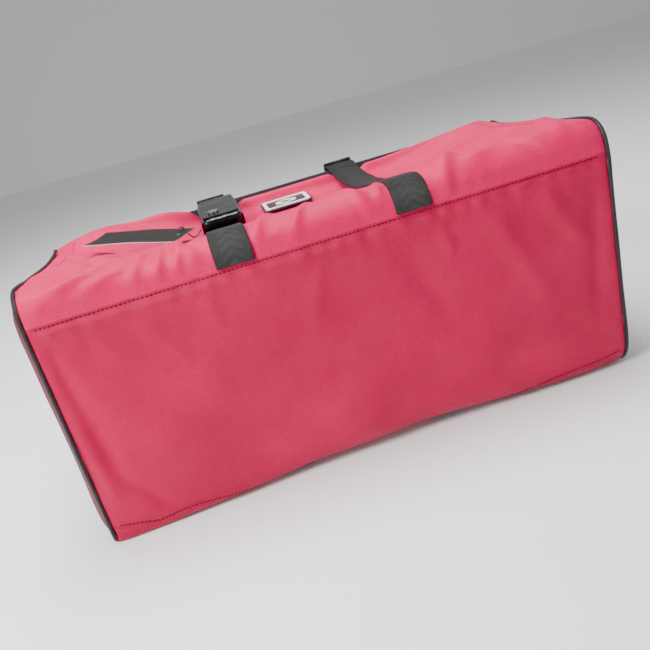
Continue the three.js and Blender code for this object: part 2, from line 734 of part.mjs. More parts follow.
function makeBadge() {
  const width = 56;
  const height = 40;
  const y = flapEdgeY - 44;
  const z = frontSeamZ - 0.8;
  const tilt = 3;
  const flat = (shape, depth, lift) => {
    const geometry = new THREE.ExtrudeGeometry(shape, { depth, bevelEnabled: false, curveSegments: 4 });
    geometry.translate(0, 0, lift);
    return tiltOnFlap(geometry, y, z, tilt);
  };
  addPart('badge_base', flat(roundedRectangle(width, height, 4), 1.4, 0), 'blackEnamel');
  const frame = roundedRectangle(width - 4, height - 4, 3);
  frame.holes.push(new THREE.Path(roundedRectangle(width - 12, height - 12, 2).getPoints(4)));
  addPart('badge_frame', flat(frame, 1.2, 1.7), 'enamel');
  const motif = new THREE.Shape();
  motif.moveTo(-12, -3);
  motif.lineTo(0, -9);
  motif.lineTo(12, -3);
  motif.lineTo(12, 3);
  motif.lineTo(0, 9);
  motif.lineTo(-12, 3);
  motif.closePath();
  const heart = new THREE.Path();
  heart.moveTo(-8, -1.2);
  heart.lineTo(-8, 1.2);
  heart.lineTo(0, 5.4);
  heart.lineTo(8, 1.2);
  heart.lineTo(8, -1.2);
  heart.lineTo(0, -5.4);
  heart.closePath();
  motif.holes.push(heart);
  addPart('badge_motif', flat(motif, 1, 1.7), 'enamel');
}

// ---- Hang tag -----------------------------------------------------------------------
const tagLength = 104;
const tagWidth = 41;
const tagThickness = 0.8;
const tagBase = new THREE.Vector3(strapX[0] - webWidth / 2, wrapStart.x, frontSeamZ);
const tagPivot = tagBase.clone().add(new THREE.Vector3(-19.5, -68, 19.4));
const tagTurn = THREE.MathUtils.degToRad(149);   // the card points left and away from the base
const tagRise = THREE.MathUtils.degToRad(7);

function placeTag(geometry) {
  geometry.applyMatrix4(new THREE.Matrix4().makeRotationY(-tagRise));
  geometry.applyMatrix4(new THREE.Matrix4().makeRotationZ(tagTurn));
  geometry.translate(tagPivot.x, tagPivot.y, tagPivot.z);
  return geometry;
}

function makeTag() {
  const card = roundedRectangle(tagLength, tagWidth, 2);
  const hole = new THREE.Path();
  hole.absarc(6 - tagLength / 2, 0, 2.6, 0, 2 * Math.PI);
  card.holes.push(hole);
  const cardGeometry = new THREE.ExtrudeGeometry(card, { depth: tagThickness, bevelEnabled: false, curveSegments: 6 });
  cardGeometry.translate(tagLength / 2, 0, 0);
  addPart('tag_card', placeTag(cardGeometry), 'card');
  const rim = tagThickness + 0.9;
  const profile = [[1.5, -0.9], [2.2, -0.9], [2.2, rim], [1.5, rim], [1.5, -0.9]].map(([r, h]) => point(r, h));
  const eyelet = new THREE.LatheGeometry(profile, 16);
  eyelet.rotateX(Math.PI / 2);
  eyelet.translate(6, 0, 0);
  addPart('tag_eyelet', placeTag(eyelet), 'metal');
}

// The tag's string runs from under the wrap to the eyelet. Its points are measured from tagBase.
const stringRadius = 0.6;
const stringPoints = [
  [-4.5, 26, 1.6], [-7, 14, 1], [-10, 0, 1.8], [-13, -14, 4.4], [-16, -28, 11],
  [-18.4, -39, 19.5], [-20.2, -47.5, 24], [-21.8, -54, 25.4], [-23.2, -59, 25.2], [-24.2, -62.6, 24.2],
].map((p) => new THREE.Vector3(...p).add(tagBase));

function makeString() {
  const shape = new THREE.Shape();
  shape.absarc(0, 0, stringRadius, 0, 2 * Math.PI);
  const curve = new THREE.CatmullRomCurve3(stringPoints);
  const geometry = new THREE.ExtrudeGeometry(shape, {
    steps: 36, extrudePath: curve, curveSegments: 4, bevelEnabled: false,
  });
  addPart('tag_string', geometry, 'webbing');
}

// ---- The whole bag ------------------------------------------------------------------
makeBasePanel();
makeFrontPanel();
makeMouthFlap();
makeBackPanel();
makeTopPanel();
makeEnds();
makeGussets();
makeLining();
makeLiningEnds();
makeBaseBoard();
makeBallCradle();
makeZip();
makeSlider();
makePull();
makeFrontStraps();
makeFrontLoop();
makeBackStraps();
makeBackLoop();
makeWrap();
makeBadge();
makeTag();
makeString();

// The origin is the middle of the bag's footprint, on the floor.
const extent = new THREE.Box3().setFromObject(bag);
const origin = new THREE.Group();
bag.position.set(-(extent.min.x + extent.max.x) / 2, -(extent.min.y + extent.max.y) / 2, -extent.min.z);
origin.add(bag);
origin.updateMatrixWorld(true);

export default origin;
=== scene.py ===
import math
import bmesh
import bpy
import numpy as np
from mathutils import Vector, Matrix


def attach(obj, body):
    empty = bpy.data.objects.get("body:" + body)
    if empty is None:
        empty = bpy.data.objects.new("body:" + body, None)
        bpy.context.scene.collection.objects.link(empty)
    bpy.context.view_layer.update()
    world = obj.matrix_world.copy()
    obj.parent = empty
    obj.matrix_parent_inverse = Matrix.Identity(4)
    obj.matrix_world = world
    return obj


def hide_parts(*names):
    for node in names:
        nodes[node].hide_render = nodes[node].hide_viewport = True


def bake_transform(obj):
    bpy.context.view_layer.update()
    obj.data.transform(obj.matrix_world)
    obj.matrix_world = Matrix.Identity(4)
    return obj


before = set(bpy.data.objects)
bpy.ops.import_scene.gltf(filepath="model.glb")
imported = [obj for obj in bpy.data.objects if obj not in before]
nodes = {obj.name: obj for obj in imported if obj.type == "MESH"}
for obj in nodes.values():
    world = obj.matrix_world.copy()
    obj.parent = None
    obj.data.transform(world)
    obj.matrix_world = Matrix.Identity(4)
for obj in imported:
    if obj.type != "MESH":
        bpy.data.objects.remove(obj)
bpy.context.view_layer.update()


BASE_Y = 219.475    # how far the frame's origin is behind the base panel, in mm


def row(points):
    """Bag millimetres (y from the base panel) to the frame's metres."""
    return (np.asarray(points, float).reshape(-1, 3) - (0, BASE_Y, 0)) / 1000


# ---- Camera ---------------------------------------------------------------------
cam_data = bpy.data.cameras.new("camera")
cam_data.lens, cam_data.sensor_width = 38.77, 36
cam_data.clip_start, cam_data.clip_end = 0.01, 50
camera = bpy.data.objects.new("camera", cam_data)
bpy.context.scene.collection.objects.link(camera)
look = Vector((0.11538777, 0.92446387, -0.36338989))
up = Vector((0.30528996, 0.31512142, 0.89860811))
right = look.cross(up)
camera.matrix_world = Matrix((
    (right.x, up.x, -look.x, -0.09903),
    (right.y, up.y, -look.y, -0.80492),
    (right.z, up.z, -look.z, 0.37733),
    (0, 0, 0, 1),
))
bpy.context.scene.camera = camera


# ---- Materials ------------------------------------------------------------------
def material(name, color, roughness=0.6, metallic=0.0, **extra):
    m = bpy.data.materials.new(name)
    m.use_nodes = True
    shader = m.node_tree.nodes["Principled BSDF"]
    shader.inputs["Base Color"].default_value = (*color, 1)
    shader.inputs["Roughness"].default_value = roughness
    shader.inputs["Metallic"].default_value = metallic
    for key, value in extra.items():
        socket = shader.inputs[key.replace("_", " ")]
        socket.default_value = value
    return m


def node(m, kind, **values):
    n = m.node_tree.nodes.new(kind)
    for key, value in values.items():
        if key in n.inputs:
            n.inputs[key].default_value = value
        else:
            setattr(n, key, value)
    return n


def wire(m, a, out, b, into):
    m.node_tree.links.new(a.outputs[out], b.inputs[into])


def textured(m, dark, light, patch=14.0, rough=None, bumps=(), coords="UV", mottle=None):
    """Colour that drifts between two tones, roughness that drifts, and stacked bump layers.
    bumps: (kind, scale, depth, direction) with kind wave or noise."""
    shader = m.node_tree.nodes["Principled BSDF"]
    tex = node(m, "ShaderNodeTexCoord")
    noise = node(m, "ShaderNodeTexNoise", Scale=patch, Detail=5.0, Roughness=0.6)
    wire(m, tex, coords, noise, "Vector")
    ramp = node(m, "ShaderNodeValToRGB")
    ramp.color_ramp.elements[0].position, ramp.color_ramp.elements[1].position = 0.33, 0.67
    ramp.color_ramp.elements[0].color = (*dark, 1)
    ramp.color_ramp.elements[1].color = (*light, 1)
    wire(m, noise, "Fac", ramp, "Fac")
    if mottle:
        scale, tone, amount = mottle
        fine = node(m, "ShaderNodeTexNoise", Scale=scale, Detail=2.0)
        wire(m, tex, coords, fine, "Vector")
        level = node(m, "ShaderNodeMapRange")
        level.inputs["From Min"].default_value, level.inputs["From Max"].default_value = 0.45, 0.75
        level.inputs["To Max"].default_value = amount
        wire(m, fine, "Fac", level, "Value")
        mix = node(m, "ShaderNodeMix", data_type="RGBA")
        mix.inputs[7].default_value = (*tone, 1)
        wire(m, level, "Result", mix, "Factor")
        m.node_tree.links.new(ramp.outputs["Color"], mix.inputs[6])
        m.node_tree.links.new(mix.outputs[2], shader.inputs["Base Color"])
    else:
        wire(m, ramp, "Color", shader, "Base Color")
    if rough:
        spread = node(m, "ShaderNodeMapRange")
        spread.inputs["From Min"].default_value, spread.inputs["From Max"].default_value = 0.3, 0.7
        spread.inputs["To Min"].default_value, spread.inputs["To Max"].default_value = rough
        wire(m, noise, "Fac", spread, "Value")
        wire(m, spread, "Result", shader, "Roughness")
    before = None
    for kind, scale, depth, direction in bumps:
        if kind == "wave":
            t = node(m, "ShaderNodeTexWave", Scale=scale, Distortion=0.4, wave_type="BANDS",
                     bands_direction=direction)
            t.inputs["Detail Scale"].default_value = 4.0
        else:
            t = node(m, "ShaderNodeTexNoise", Scale=scale, Detail=4.0)
        wire(m, tex, coords, t, "Vector")
        bump = node(m, "ShaderNodeBump", Strength=0.8, Distance=depth)
        wire(m, t, "Fac" if "Fac" in t.outputs else "Color", bump, "Height")
        if before:
            wire(m, before, "Normal", bump, "Normal")
        before = bump
    if before:
        wire(m, before, "Normal", shader, "Normal")
    return m


def nylon(name, dark, light, roughness=0.37, sheen=0.08):
    m = material(name, light, roughness, Sheen_Weight=sheen, Sheen_Roughness=0.35,
                 Sheen_Tint=(1.0, 0.35, 0.5, 1), Specular_IOR_Level=0.16)
    return textured(m, dark, light, patch=9.0, rough=(roughness - 0.05, roughness + 0.08),
                    mottle=(420.0, tuple(c * 0.72 for c in dark), 0.35),
                    bumps=[("noise", 60.0, 0.0012, None), ("wave", 520.0, 0.00016, "DIAGONAL"),
                           ("wave", 390.0, 0.0001, "X")])


# One maroon nylon in lit and shaded copies: the front's lighter tones are painted light, as if lit from above
front_nylon_painted_light = nylon("nylon_front_painted_light", (0.60, 0.0005, 0.074), (0.76, 0.003, 0.104))
base_nylon = nylon("nylon_base", (0.42, 0.0005, 0.046), (0.56, 0.001, 0.066))
# The back and top panels' slightly darker tones are painted shade
back_nylon_painted_shade = nylon("nylon_back_painted_shade", (0.40, 0.0005, 0.043), (0.50, 0.001, 0.058))
# The ends' far darker tones are painted shade, for the panels turned away from the light
end_nylon_painted_shade = nylon("nylon_end_painted_shade", (0.10, 0.008, 0.022), (0.17, 0.014, 0.034), 0.5)
thread_red = textured(
    material("thread_red", (0.10, 0.002, 0.012), 0.6, Specular_IOR_Level=0.25),
    (0.085, 0.002, 0.010), (0.13, 0.003, 0.016), patch=300.0, coords="Object")
thread_black = textured(material("thread_black", (0.03, 0.03, 0.031), 0.5), (0.02, 0.02, 0.021),
                        (0.045, 0.044, 0.044), patch=300.0, coords="Object")
webbing = textured(
    material("webbing", (0.012, 0.012, 0.013), 0.42, Specular_IOR_Level=0.35),
    (0.006, 0.006, 0.0065), (0.017, 0.0165, 0.0165), patch=60.0, rough=(0.32, 0.5),
    mottle=(900.0, (0.05, 0.048, 0.048), 0.5),
    bumps=[("wave", 330.0, 0.0006, "Y"), ("wave", 200.0, 0.0005, "X"), ("wave", 420.0, 0.0004, "DIAGONAL"),
           ("noise", 120.0, 0.0012, None)])


def chevrons(m, tone):
    """A generic woven chevron down the middle of the webbing: v shifted by |u|, in bands."""
    tree, shader = m.node_tree, m.node_tree.nodes["Principled BSDF"]
    old = shader.inputs["Base Color"].links[0].from_socket
    split = node(m, "ShaderNodeSeparateXYZ")
    wire(m, node(m, "ShaderNodeTexCoord"), "UV", split, "Vector")

    def math_node(kind, first, second=None):
        n = node(m, "ShaderNodeMath", operation=kind)
        for k, value in enumerate((first, second)):
            if isinstance(value, (int, float)):
                n.inputs[k].default_value = value
            elif value is not None:
                tree.links.new(value, n.inputs[k])
        return n.outputs[0]
    across = math_node("ABSOLUTE", split.outputs["X"])
    shifted = math_node("ADD", split.outputs["Y"], math_node("MULTIPLY", across, 0.8))
    band = math_node("GREATER_THAN", math_node("PINGPONG", shifted, 0.0042), 0.0024)
    inside = math_node("LESS_THAN", across, 0.0098)
    mix = node(m, "ShaderNodeMix", data_type="RGBA")
    tree.links.new(math_node("MULTIPLY", math_node("MULTIPLY", band, inside), 0.7), mix.inputs[0])
    tree.links.new(old, mix.inputs[6])
    mix.inputs[7].default_value = (*tone, 1)
    tree.links.new(mix.outputs[2], shader.inputs["Base Color"])


chevrons(webbing, (0.04, 0.039, 0.039))
piping_cloth = textured(
    material("piping_cloth", (0.012, 0.012, 0.013), 0.42), (0.009, 0.009, 0.010), (0.02, 0.02, 0.021),
    patch=40.0, rough=(0.32, 0.5), mottle=(700.0, (0.06, 0.055, 0.055), 0.3),
    bumps=[("wave", 500.0, 0.0003, "DIAGONAL")])
lining_cloth = textured(
    material("lining_cloth", (0.03, 0.03, 0.036), 0.7, Sheen_Weight=0.2), (0.022, 0.022, 0.027),
    (0.045, 0.045, 0.053), patch=12.0, rough=(0.6, 0.8), mottle=(600.0, (0.09, 0.09, 0.1), 0.3),
    bumps=[("noise", 90.0, 0.001, None), ("wave", 450.0, 0.0002, "DIAGONAL")], coords="Object")
tape_cloth = textured(
    material("tape_cloth", (0.01, 0.01, 0.011), 0.8, Specular_IOR_Level=0.2),
    (0.006, 0.006, 0.007), (0.014, 0.014, 0.015), patch=30.0, rough=(0.65, 0.85),
    mottle=(800.0, (0.035, 0.035, 0.037), 0.35),
    bumps=[("wave", 420.0, 0.0003, "X"), ("wave", 300.0, 0.0002, "Y")], coords="Object")
coil_plastic = textured(material("coil_plastic", (0.03, 0.03, 0.033), 0.35), (0.022, 0.022, 0.025),
                        (0.045, 0.045, 0.05), patch=200.0, rough=(0.28, 0.42), coords="Object")
steel = textured(material("steel", (0.55, 0.56, 0.58), 0.25, 1.0), (0.46, 0.47, 0.49), (0.62, 0.63, 0.65),
                 patch=70.0, rough=(0.18, 0.34), bumps=[("noise", 500.0, 0.00008, None)], coords="Object")
patent = textured(
    material("patent", (0.004, 0.004, 0.005), 0.2, Coat_Weight=0.1, Coat_Roughness=0.08,
             Specular_IOR_Level=0.32),
    (0.003, 0.003, 0.004), (0.007, 0.007, 0.008), patch=20.0, rough=(0.14, 0.28),
    bumps=[("noise", 160.0, 0.0006, None), ("noise", 30.0, 0.0015, None)], coords="Object")
enamel_black = textured(material("enamel_black", (0.012, 0.012, 0.013), 0.3), (0.009, 0.009, 0.01),
                        (0.018, 0.018, 0.02), patch=60.0, rough=(0.22, 0.4), coords="Object",
                        bumps=[("noise", 400.0, 0.0001, None)])
enamel_white = textured(material("enamel_white", (0.72, 0.72, 0.74), 0.32), (0.78, 0.78, 0.80),
                        (0.9, 0.9, 0.92), patch=90.0, rough=(0.25, 0.42), coords="Object",
                        bumps=[("noise", 400.0, 0.0001, None)])
foam = textured(material("foam", (0.07, 0.07, 0.078), 0.9), (0.05, 0.05, 0.057), (0.1, 0.1, 0.11),
                patch=30.0, rough=(0.85, 0.97), mottle=(500.0, (0.02, 0.02, 0.024), 0.6),
                bumps=[("noise", 700.0, 0.0009, None)], coords="Object")
fibre_board = textured(material("fibre_board", (0.12, 0.09, 0.06), 0.8), (0.09, 0.066, 0.045),
                       (0.16, 0.12, 0.085), patch=25.0, rough=(0.7, 0.9), coords="Object",
                       mottle=(300.0, (0.25, 0.2, 0.15), 0.4), bumps=[("noise", 300.0, 0.0004, None)])
card_black = textured(
    material("card_black", (0.01, 0.01, 0.01), 0.6, Specular_IOR_Level=0.2), (0.008, 0.007, 0.007),
    (0.015, 0.013, 0.012), patch=30.0, rough=(0.52, 0.7), bumps=[("noise", 500.0, 0.0002, None)])
card_edge = textured(material("card_edge", (0.5, 0.48, 0.44), 0.8), (0.4, 0.38, 0.34), (0.6, 0.57, 0.52),
                     patch=200.0, coords="Object")
cord_black = textured(material("cord_black", (0.02, 0.02, 0.02), 0.6), (0.014, 0.014, 0.014),
                      (0.04, 0.038, 0.038), patch=300.0, coords="Object",
                      bumps=[("wave", 250.0, 0.0003, "DIAGONAL")])

# ---- Cord: the tag's string -----------------------------------------------------
tag_base = np.array((-103.0, 160.0, 224.0))
string_knots = tag_base + np.array([
    [-4.5, 26, 1.6], [-7, 14, 1], [-10, 0, 1.8], [-13, -14, 4.4], [-16, -28, 11], [-18.4, -39, 19.5],
    [-20.2, -47.5, 24], [-21.8, -54, 25.4], [-23.2, -59, 25.2], [-24.2, -62.6, 24.2]])


def spline(knots, t):
    """Catmull-Rom through the knots. t runs from 0 to 1."""
    k = np.asarray(knots, float)
    n = len(k)
    at = np.clip(np.asarray(t, float), 0, 1) * (n - 1)
    i = np.minimum(np.floor(at).astype(int), n - 2)
    w = (at - i)[..., None]
    p0, p1 = k[np.maximum(i - 1, 0)], k[i]
    p2, p3 = k[i + 1], k[np.minimum(i + 2, n - 1)]
    v0, v1 = (p2 - p0) / 2, (p3 - p1) / 2
    return (2 * p1 - 2 * p2 + v0 + v1) * w ** 3 + (3 * p2 - 3 * p1 - 2 * v0 - v1) * w ** 2 + v0 * w + p1


string_path = row(spline(string_knots, np.linspace(0, 1, 73)))
string_curve = bpy.data.curves.new("tag_cord", "CURVE")
string_curve.dimensions, string_curve.bevel_depth, string_curve.bevel_resolution = "3D", 0.0006, 3
string_curve.use_fill_caps = True
line = string_curve.splines.new("POLY")
line.points.add(len(string_path) - 1)
for point, p in zip(line.points, string_path):
    point.co = (*p, 1)
tag_cord = bpy.data.objects.new("tag_cord", string_curve)
bpy.context.scene.collection.objects.link(tag_cord)
string_curve.materials.append(cord_black)


# ---- Mesh helpers ---------------------------------------------------------------
def build(name, points, faces, mats, uvs=None):
    """A mesh object from bag millimetres. uvs is one (u, v) in metres per point."""
    mesh = bpy.data.meshes.new(name)
    mesh.from_pydata([tuple(p) for p in row(points)], [], [tuple(int(i) for i in f) for f in faces])
    mesh.polygons.foreach_set("use_smooth", [True] * len(mesh.polygons))
    for m in mats if isinstance(mats, (list, tuple)) else [mats]:
        mesh.materials.append(m)
    if uvs is not None:
        layer = mesh.uv_layers.new(name="UVMap")
        corners = np.zeros(len(mesh.loops), int)
        mesh.loops.foreach_get("vertex_index", corners)
        layer.data.foreach_set("uv", np.asarray(uvs, np.float32)[corners].ravel())
    obj = bpy.data.objects.new(name, mesh)
    bpy.context.scene.collection.objects.link(obj)
    return obj


def grid_normals(g):
    du, dv = np.gradient(g, axis=0), np.gradient(g, axis=1)
    n = np.cross(du, dv)
    return n / np.maximum(np.linalg.norm(n, axis=2, keepdims=True), 1e-9)


def cloth(name, g, thickness, mats, keep=None, flip=1):
    """A closed cloth from a grid of points g[i, j]: its outer skin, an inner one and a rim."""
    ni, nj = g.shape[:2]
    n = grid_normals(g) * flip
    inner = g - n * thickness
    points = np.concatenate([g.reshape(-1, 3), inner.reshape(-1, 3)])
    kept = np.ones((ni - 1, nj - 1), bool) if keep is None else keep
    ids = np.arange(ni * nj).reshape(ni, nj)
    a, b, c, d = ids[:-1, :-1], ids[1:, :-1], ids[1:, 1:], ids[:-1, 1:]
    outer = np.stack([a, b, c, d], -1)[kept]
    if flip < 0:
        outer = outer[:, ::-1]
    total = ni * nj
    faces = [*outer, *(outer[:, ::-1] + total)]
    seen = {}
    for f in outer:
        for k in range(4):
            seen[(int(f[k]), int(f[(k + 1) % 4]))] = True
    for (p, q) in list(seen):
        if (q, p) not in seen:
            faces.append((q, p, p + total, q + total))
    u = np.concatenate([np.zeros((1, nj)), np.cumsum(np.linalg.norm(np.diff(g, axis=0), axis=2), 0)])
    v = np.concatenate([np.zeros((ni, 1)), np.cumsum(np.linalg.norm(np.diff(g, axis=1), axis=2), 1)], 1)
    uv = np.stack([u, v], -1).reshape(-1, 2) / 1000
    used = np.zeros(2 * total, bool)
    for f in faces:
        used[list(f)] = True
    renumber = np.cumsum(used) - 1
    faces = [tuple(renumber[list(f)]) for f in faces]
    return build(name, points[used], faces, mats, np.concatenate([uv, uv])[used])


def ribbon(name, centres, across, mats, width=34.0, thick=2.4):
    """Webbing swept along centres, as wide as width along the across vectors, with rounded edges.
    The under side lies on the centres."""
    c, a = np.asarray(centres, float), np.asarray(across, float)
    t = np.gradient(c, axis=0)
    t /= np.linalg.norm(t, axis=1, keepdims=True)
    a = a - t * (a * t).sum(1, keepdims=True)
    a /= np.linalg.norm(a, axis=1, keepdims=True)
    n = np.cross(a, t)
    half = width / 2
    ring = [(-half, 0.5), (-half + 0.7, 0.08), (-half + 3, 0), (-half / 2, 0), (0, 0), (half / 2, 0),
            (half - 3, 0), (half - 0.7, 0.08), (half, 0.5), (half - 0.7, 0.92), (half - 3, 1.0),
            (half - 4.2, 0.9), (half / 2, 0.96), (0, 1.0), (-half / 2, 0.96), (-half + 4.2, 0.9),
            (-half + 3, 1.0), (-half + 0.7, 0.92)]
    k = len(ring)
    u = np.array([r[0] for r in ring])
    h = np.array([r[1] for r in ring]) * thick
    points = (c[:, None] + a[:, None] * u[None, :, None] + n[:, None] * h[None, :, None]).reshape(-1, 3)
    run = np.concatenate([[0], np.cumsum(np.linalg.norm(np.diff(c, axis=0), axis=1))])
    uv = np.stack(np.broadcast_arrays(u[None, :], run[:, None]), -1).reshape(-1, 2) / 1000
    faces = []
    for i in range(len(c) - 1):
        for j in range(k):
            p, q = i * k + j, i * k + (j + 1) % k
            faces.append((p, q, q + k, p + k))
    faces.append(tuple(range(k))[::-1])
    faces.append(tuple(range((len(c) - 1) * k, len(c) * k)))
    obj = build(name, points, faces, mats, uv)
    obj.data.validate()
    recalc(obj)
    return obj


def recalc(obj):
    bm = bmesh.new()
    bm.from_mesh(obj.data)
    bmesh.ops.recalc_face_normals(bm, faces=bm.faces)
    bm.to_mesh(obj.data)
    bm.free()


def stitches(name, path, normals, mat, pitch=3.8, length=2.7, radius=0.62):
    """Topstitching: a raised, tapered dash of thread every pitch along a path."""
    path, normals = np.asarray(path, float), np.asarray(normals, float)
    run = np.concatenate([[0], np.cumsum(np.linalg.norm(np.diff(path, axis=0), axis=1))])
    starts = np.arange(1.0, run[-1] - length - 1, pitch)
    shape = [(0.0, 0.35), (0.22, 0.95), (0.5, 1.05), (0.78, 0.95), (1.0, 0.35)]
    points, faces = [], []
    for s in starts:
        at = np.array([s + length * f for f, _ in shape])
        p = np.stack([np.interp(at, run, path[:, i]) for i in range(3)], 1)
        n = np.stack([np.interp(at, run, normals[:, i]) for i in range(3)], 1)
        t = p[-1] - p[0]
        side = np.cross(t, n[2])
        side /= np.linalg.norm(side)
        first = len(points)
        for (_, r), q, m in zip(shape, p, n):
            for angle in np.arange(6) * math.pi / 3:
                out = side * math.cos(angle) * 1.15 + m * (math.sin(angle) * 0.9)
                points.append(q + radius * r * out + m * 0.12)
        for i in range(len(shape) - 1):
            for j in range(6):
                a, b = first + i * 6 + j, first + i * 6 + (j + 1) % 6
                faces.append((a, b, b + 6, a + 6))
        faces.append(tuple(first + j for j in range(6))[::-1])
        faces.append(tuple(first + 24 + j for j in range(6)))
    obj = build(name, points, faces, mat)
    recalc(obj)
    return obj


def smooth(x, low, high):
    t = np.clip((np.asarray(x, float) - low) / (high - low), 0, 1)
    return t * t * (3 - 2 * t)


def bump(x, y, cx, cy, rx, ry, height):
    return height * np.exp(-((x - cx) / rx) ** 2 - ((y - cy) / ry) ** 2)


def crease(x, y, x0, y0, x1, y1, width, height):
    """A soft ridge (or valley) along a segment, fading at its ends."""
    dx, dy = x1 - x0, y1 - y0
    t = np.clip(((x - x0) * dx + (y - y0) * dy) / (dx * dx + dy * dy), -0.3, 1.3)
    d = np.hypot(x - x0 - t * dx, y - y0 - t * dy)
    fade = smooth(t, -0.3, 0.25) * (1 - smooth(t, 0.75, 1.3))
    return height * fade * np.exp(-(d / width) ** 2)


# ---- Shape of the bag -----------------------------------------------------------
HALF, TOP, SEAM = 262.0, 224.0, 206.0
STRAPS = (-86.0, 78.0)
EDGE_YS = [0, 4, 14, 30, 70, 110, 150, 190, 220, 250]
MIDDLE = np.stack([EDGE_YS, np.array([0, 14, 23, 25, 18, 7, -1, -4.5, -3, 4.0]) + TOP], 1)
ENDS = np.stack([EDGE_YS, np.array([0, 16, 27, 30, 26, 22, 18, 15.5, 14, 13.0]) + TOP], 1)

FRONT_CREASES = [
    (-255, 24, -165, 66, 8, 4.0), (-252, 50, -176, 100, 9, 3.4), (-236, 8, -158, 26, 6, 3.0),
    (-208, 118, -140, 66, 9, 3.0), (-120, 10, -152, 52, 6, 2.8), (-62, 8, -40, 66, 7, 2.8),
    (-28, 6, -6, 44, 6, 2.2), (36, 8, 18, 56, 7, 2.4), (52, 10, 58, 40, 5, 1.6), (112, 8, 150, 74, 9, 4.0),
    (140, 15, 222, 62, 11, 2.6), (186, 96, 248, 58, 12, 1.8), (118, 128, 186, 106, 13, 1.8),
    (-250, 150, -170, 128, 10, 3.2), (-240, 205, -160, 180, 14, 1.4), (130, 190, 235, 160, 14, 1.6),
    (-40, 96, 40, 118, 12, 2.4), (-36, 150, 44, 160, 12, -2.4), (-160, 150, -118, 100, 9, 2.6),
    (-225, 70, -190, 20, 6, -2.4), (170, 60, 200, 12, 6, -2.4), (-175, 40, -128, 84, 8, -2.4),
    (8, 70, 60, 96, 9, -2.0), (230, 20, 246, 90, 8, 2.4), (-246, 96, -238, 160, 8, 2.2)]


def stretch(x):
    """The stuffed ends reach a little past the panels' own length."""
    return x + np.where(x < 0, -7.0, 5.0) * smooth(np.abs(x), 190, HALF)


def front(x, t):
    """Points and outward normals of the front panel, wrinkles and all."""
    x, t = np.broadcast_arrays(np.asarray(x, float), np.asarray(t, float))

    def base(s):
        e = smooth(np.abs(x), 152, 241)[..., None]
        return spline(MIDDLE, s) * (1 - e) + spline(ENDS, s) * e
    p, q, r = base(t), base(np.minimum(t + 0.004, 1)), base(np.maximum(t - 0.004, 0))
    along = q - r
    along /= np.linalg.norm(along, axis=-1, keepdims=True)
    y = p[..., 0]
    clear = 1 - np.exp(-((x + 83) / 34) ** 4) * smooth(y, 120, 158)   # flat under the wrap
    clear = clear * (1 - np.exp(-((x + 6) / 42) ** 4 - ((y - 206) / 40) ** 4))   # and the badge
    d = sum(crease(x, y, *c[:4], c[4] * 0.8, c[5] * 1.45) for c in FRONT_CREASES)
    d = d + bump(x, y, -200, 222, 44, 24, 18) + bump(x, y, -140, 226, 26, 20, 8)
    d = d + bump(x, y, 188, 222, 58, 26, 10)
    d = d + bump(x, y, 246, 150, 15, 100, 6.5)   # the stuffed cloth hides the piping behind it
    d = d + bump(x, y, 122, 50, 34, 36, 5) - bump(x, y, 10, 150, 80, 55, 3) + bump(x, y, 205, 34, 30, 20, 3)
    d = d + bump(x, y, -205, 40, 34, 22, 3) - bump(x, y, -130, 60, 16, 30, 2.5)
    d = d + bump(x, y, 30, 26, 30, 14, 2)
    d = d + np.sin(x / 33 + y / 41) * np.sin(y / 29 - x / 57)
    d = d + 0.3 * np.sin(x / 13 + y / 17) * np.sin(x / 71)
    pucker = np.exp(-((y - 1) / 4) ** 2) * (0.35 + np.sin(x / 67) ** 2) * 0.45
    pucker = pucker * np.sin(x / 3.3 + 1.6 * np.sin(x / 21))
    pucker = pucker + crease(x, y, -150, 4, -140, 34, 4, 3.2) + crease(x, y, -133, 4, -126, 30, 3.5, 2.8)
    pucker = pucker + crease(x, y, -172, 4, -158, 26, 4, 2.2) + crease(x, y, -215, 3, -176, 14, 4, 2.4)
    before_zip = 1 - smooth(t, 0.985, 1.0)
    ridge = (10.5 - 6 * smooth(np.abs(x), 150, 215)) * np.exp(-((y - 240) / 8) ** 2) * before_zip
    ridge = ridge + bump(x, y, -150, 238, 42, 12, 8) * before_zip
    ridge = ridge * (1 - np.exp(-((x + 83) / 26) ** 6))               # none under the wrap
    ridge = ridge * (1 - 0.65 * np.exp(-((x - 78) / 20) ** 6))        # and less under the right strap
    d = (d * clear + pucker) * smooth(t, 0, 0.10) * (1 - smooth(t, 0.93, 1.0))
    d = d * (1 - smooth(np.abs(x), 246, 262))
    for centre in STRAPS:                # the straps press the cloth a little
        pressed = np.exp(-((x - centre) / 19) ** 4)
        d = np.minimum(d, d * (1 - pressed) + 1.6 * pressed)
    d = d - 2.2 * np.exp(-(HALF - np.abs(x)) / 3.5)
    d = d + ridge
    normal = np.stack([np.zeros_like(x), -along[..., 1], along[..., 0]], -1)
    at = np.stack([stretch(x), p[..., 0], p[..., 1]], -1)
    return at + normal * d[..., None], normal


LOW_X = [-268, -228, -188, -140, -96, -64, -13, 51, 72, 120, 158, 201, 246, 262]
CORNER = [6, 9, 17, 22, 28, 32, 32, 34, 34, 32, 31, 28, 30, 40]
LIFT = [0, 0, 0.4, 2, 4, 6, 5.5, 8.5, 7, 4.5, 1.5, 0, 0, 0]
BASE_CREASES = [
    (-250, 190, -236, 60, 7, -4.6), (-233, 60, -212, 28, 7, -3.6), (-256, 120, -250, 50, 6, 2.4),
    (246, 190, 236, 70, 9, -3.0), (200, 205, 228, 150, 9, 3.4), (150, 190, 196, 90, 11, 3.8),
    (176, 120, 214, 60, 10, -2.2), (-180, 205, -150, 160, 9, 2.0), (-60, 60, 60, 78, 16, 2.0),
    (-140, 100, -60, 60, 14, -1.8), (60, 190, 90, 120, 12, -1.6), (-20, 200, -34, 150, 9, 1.6),
    (96, 205, 104, 178, 6, 1.6), (-120, 206, -114, 180, 6, 1.6), (-215, 206, -206, 178, 6, 1.6)]


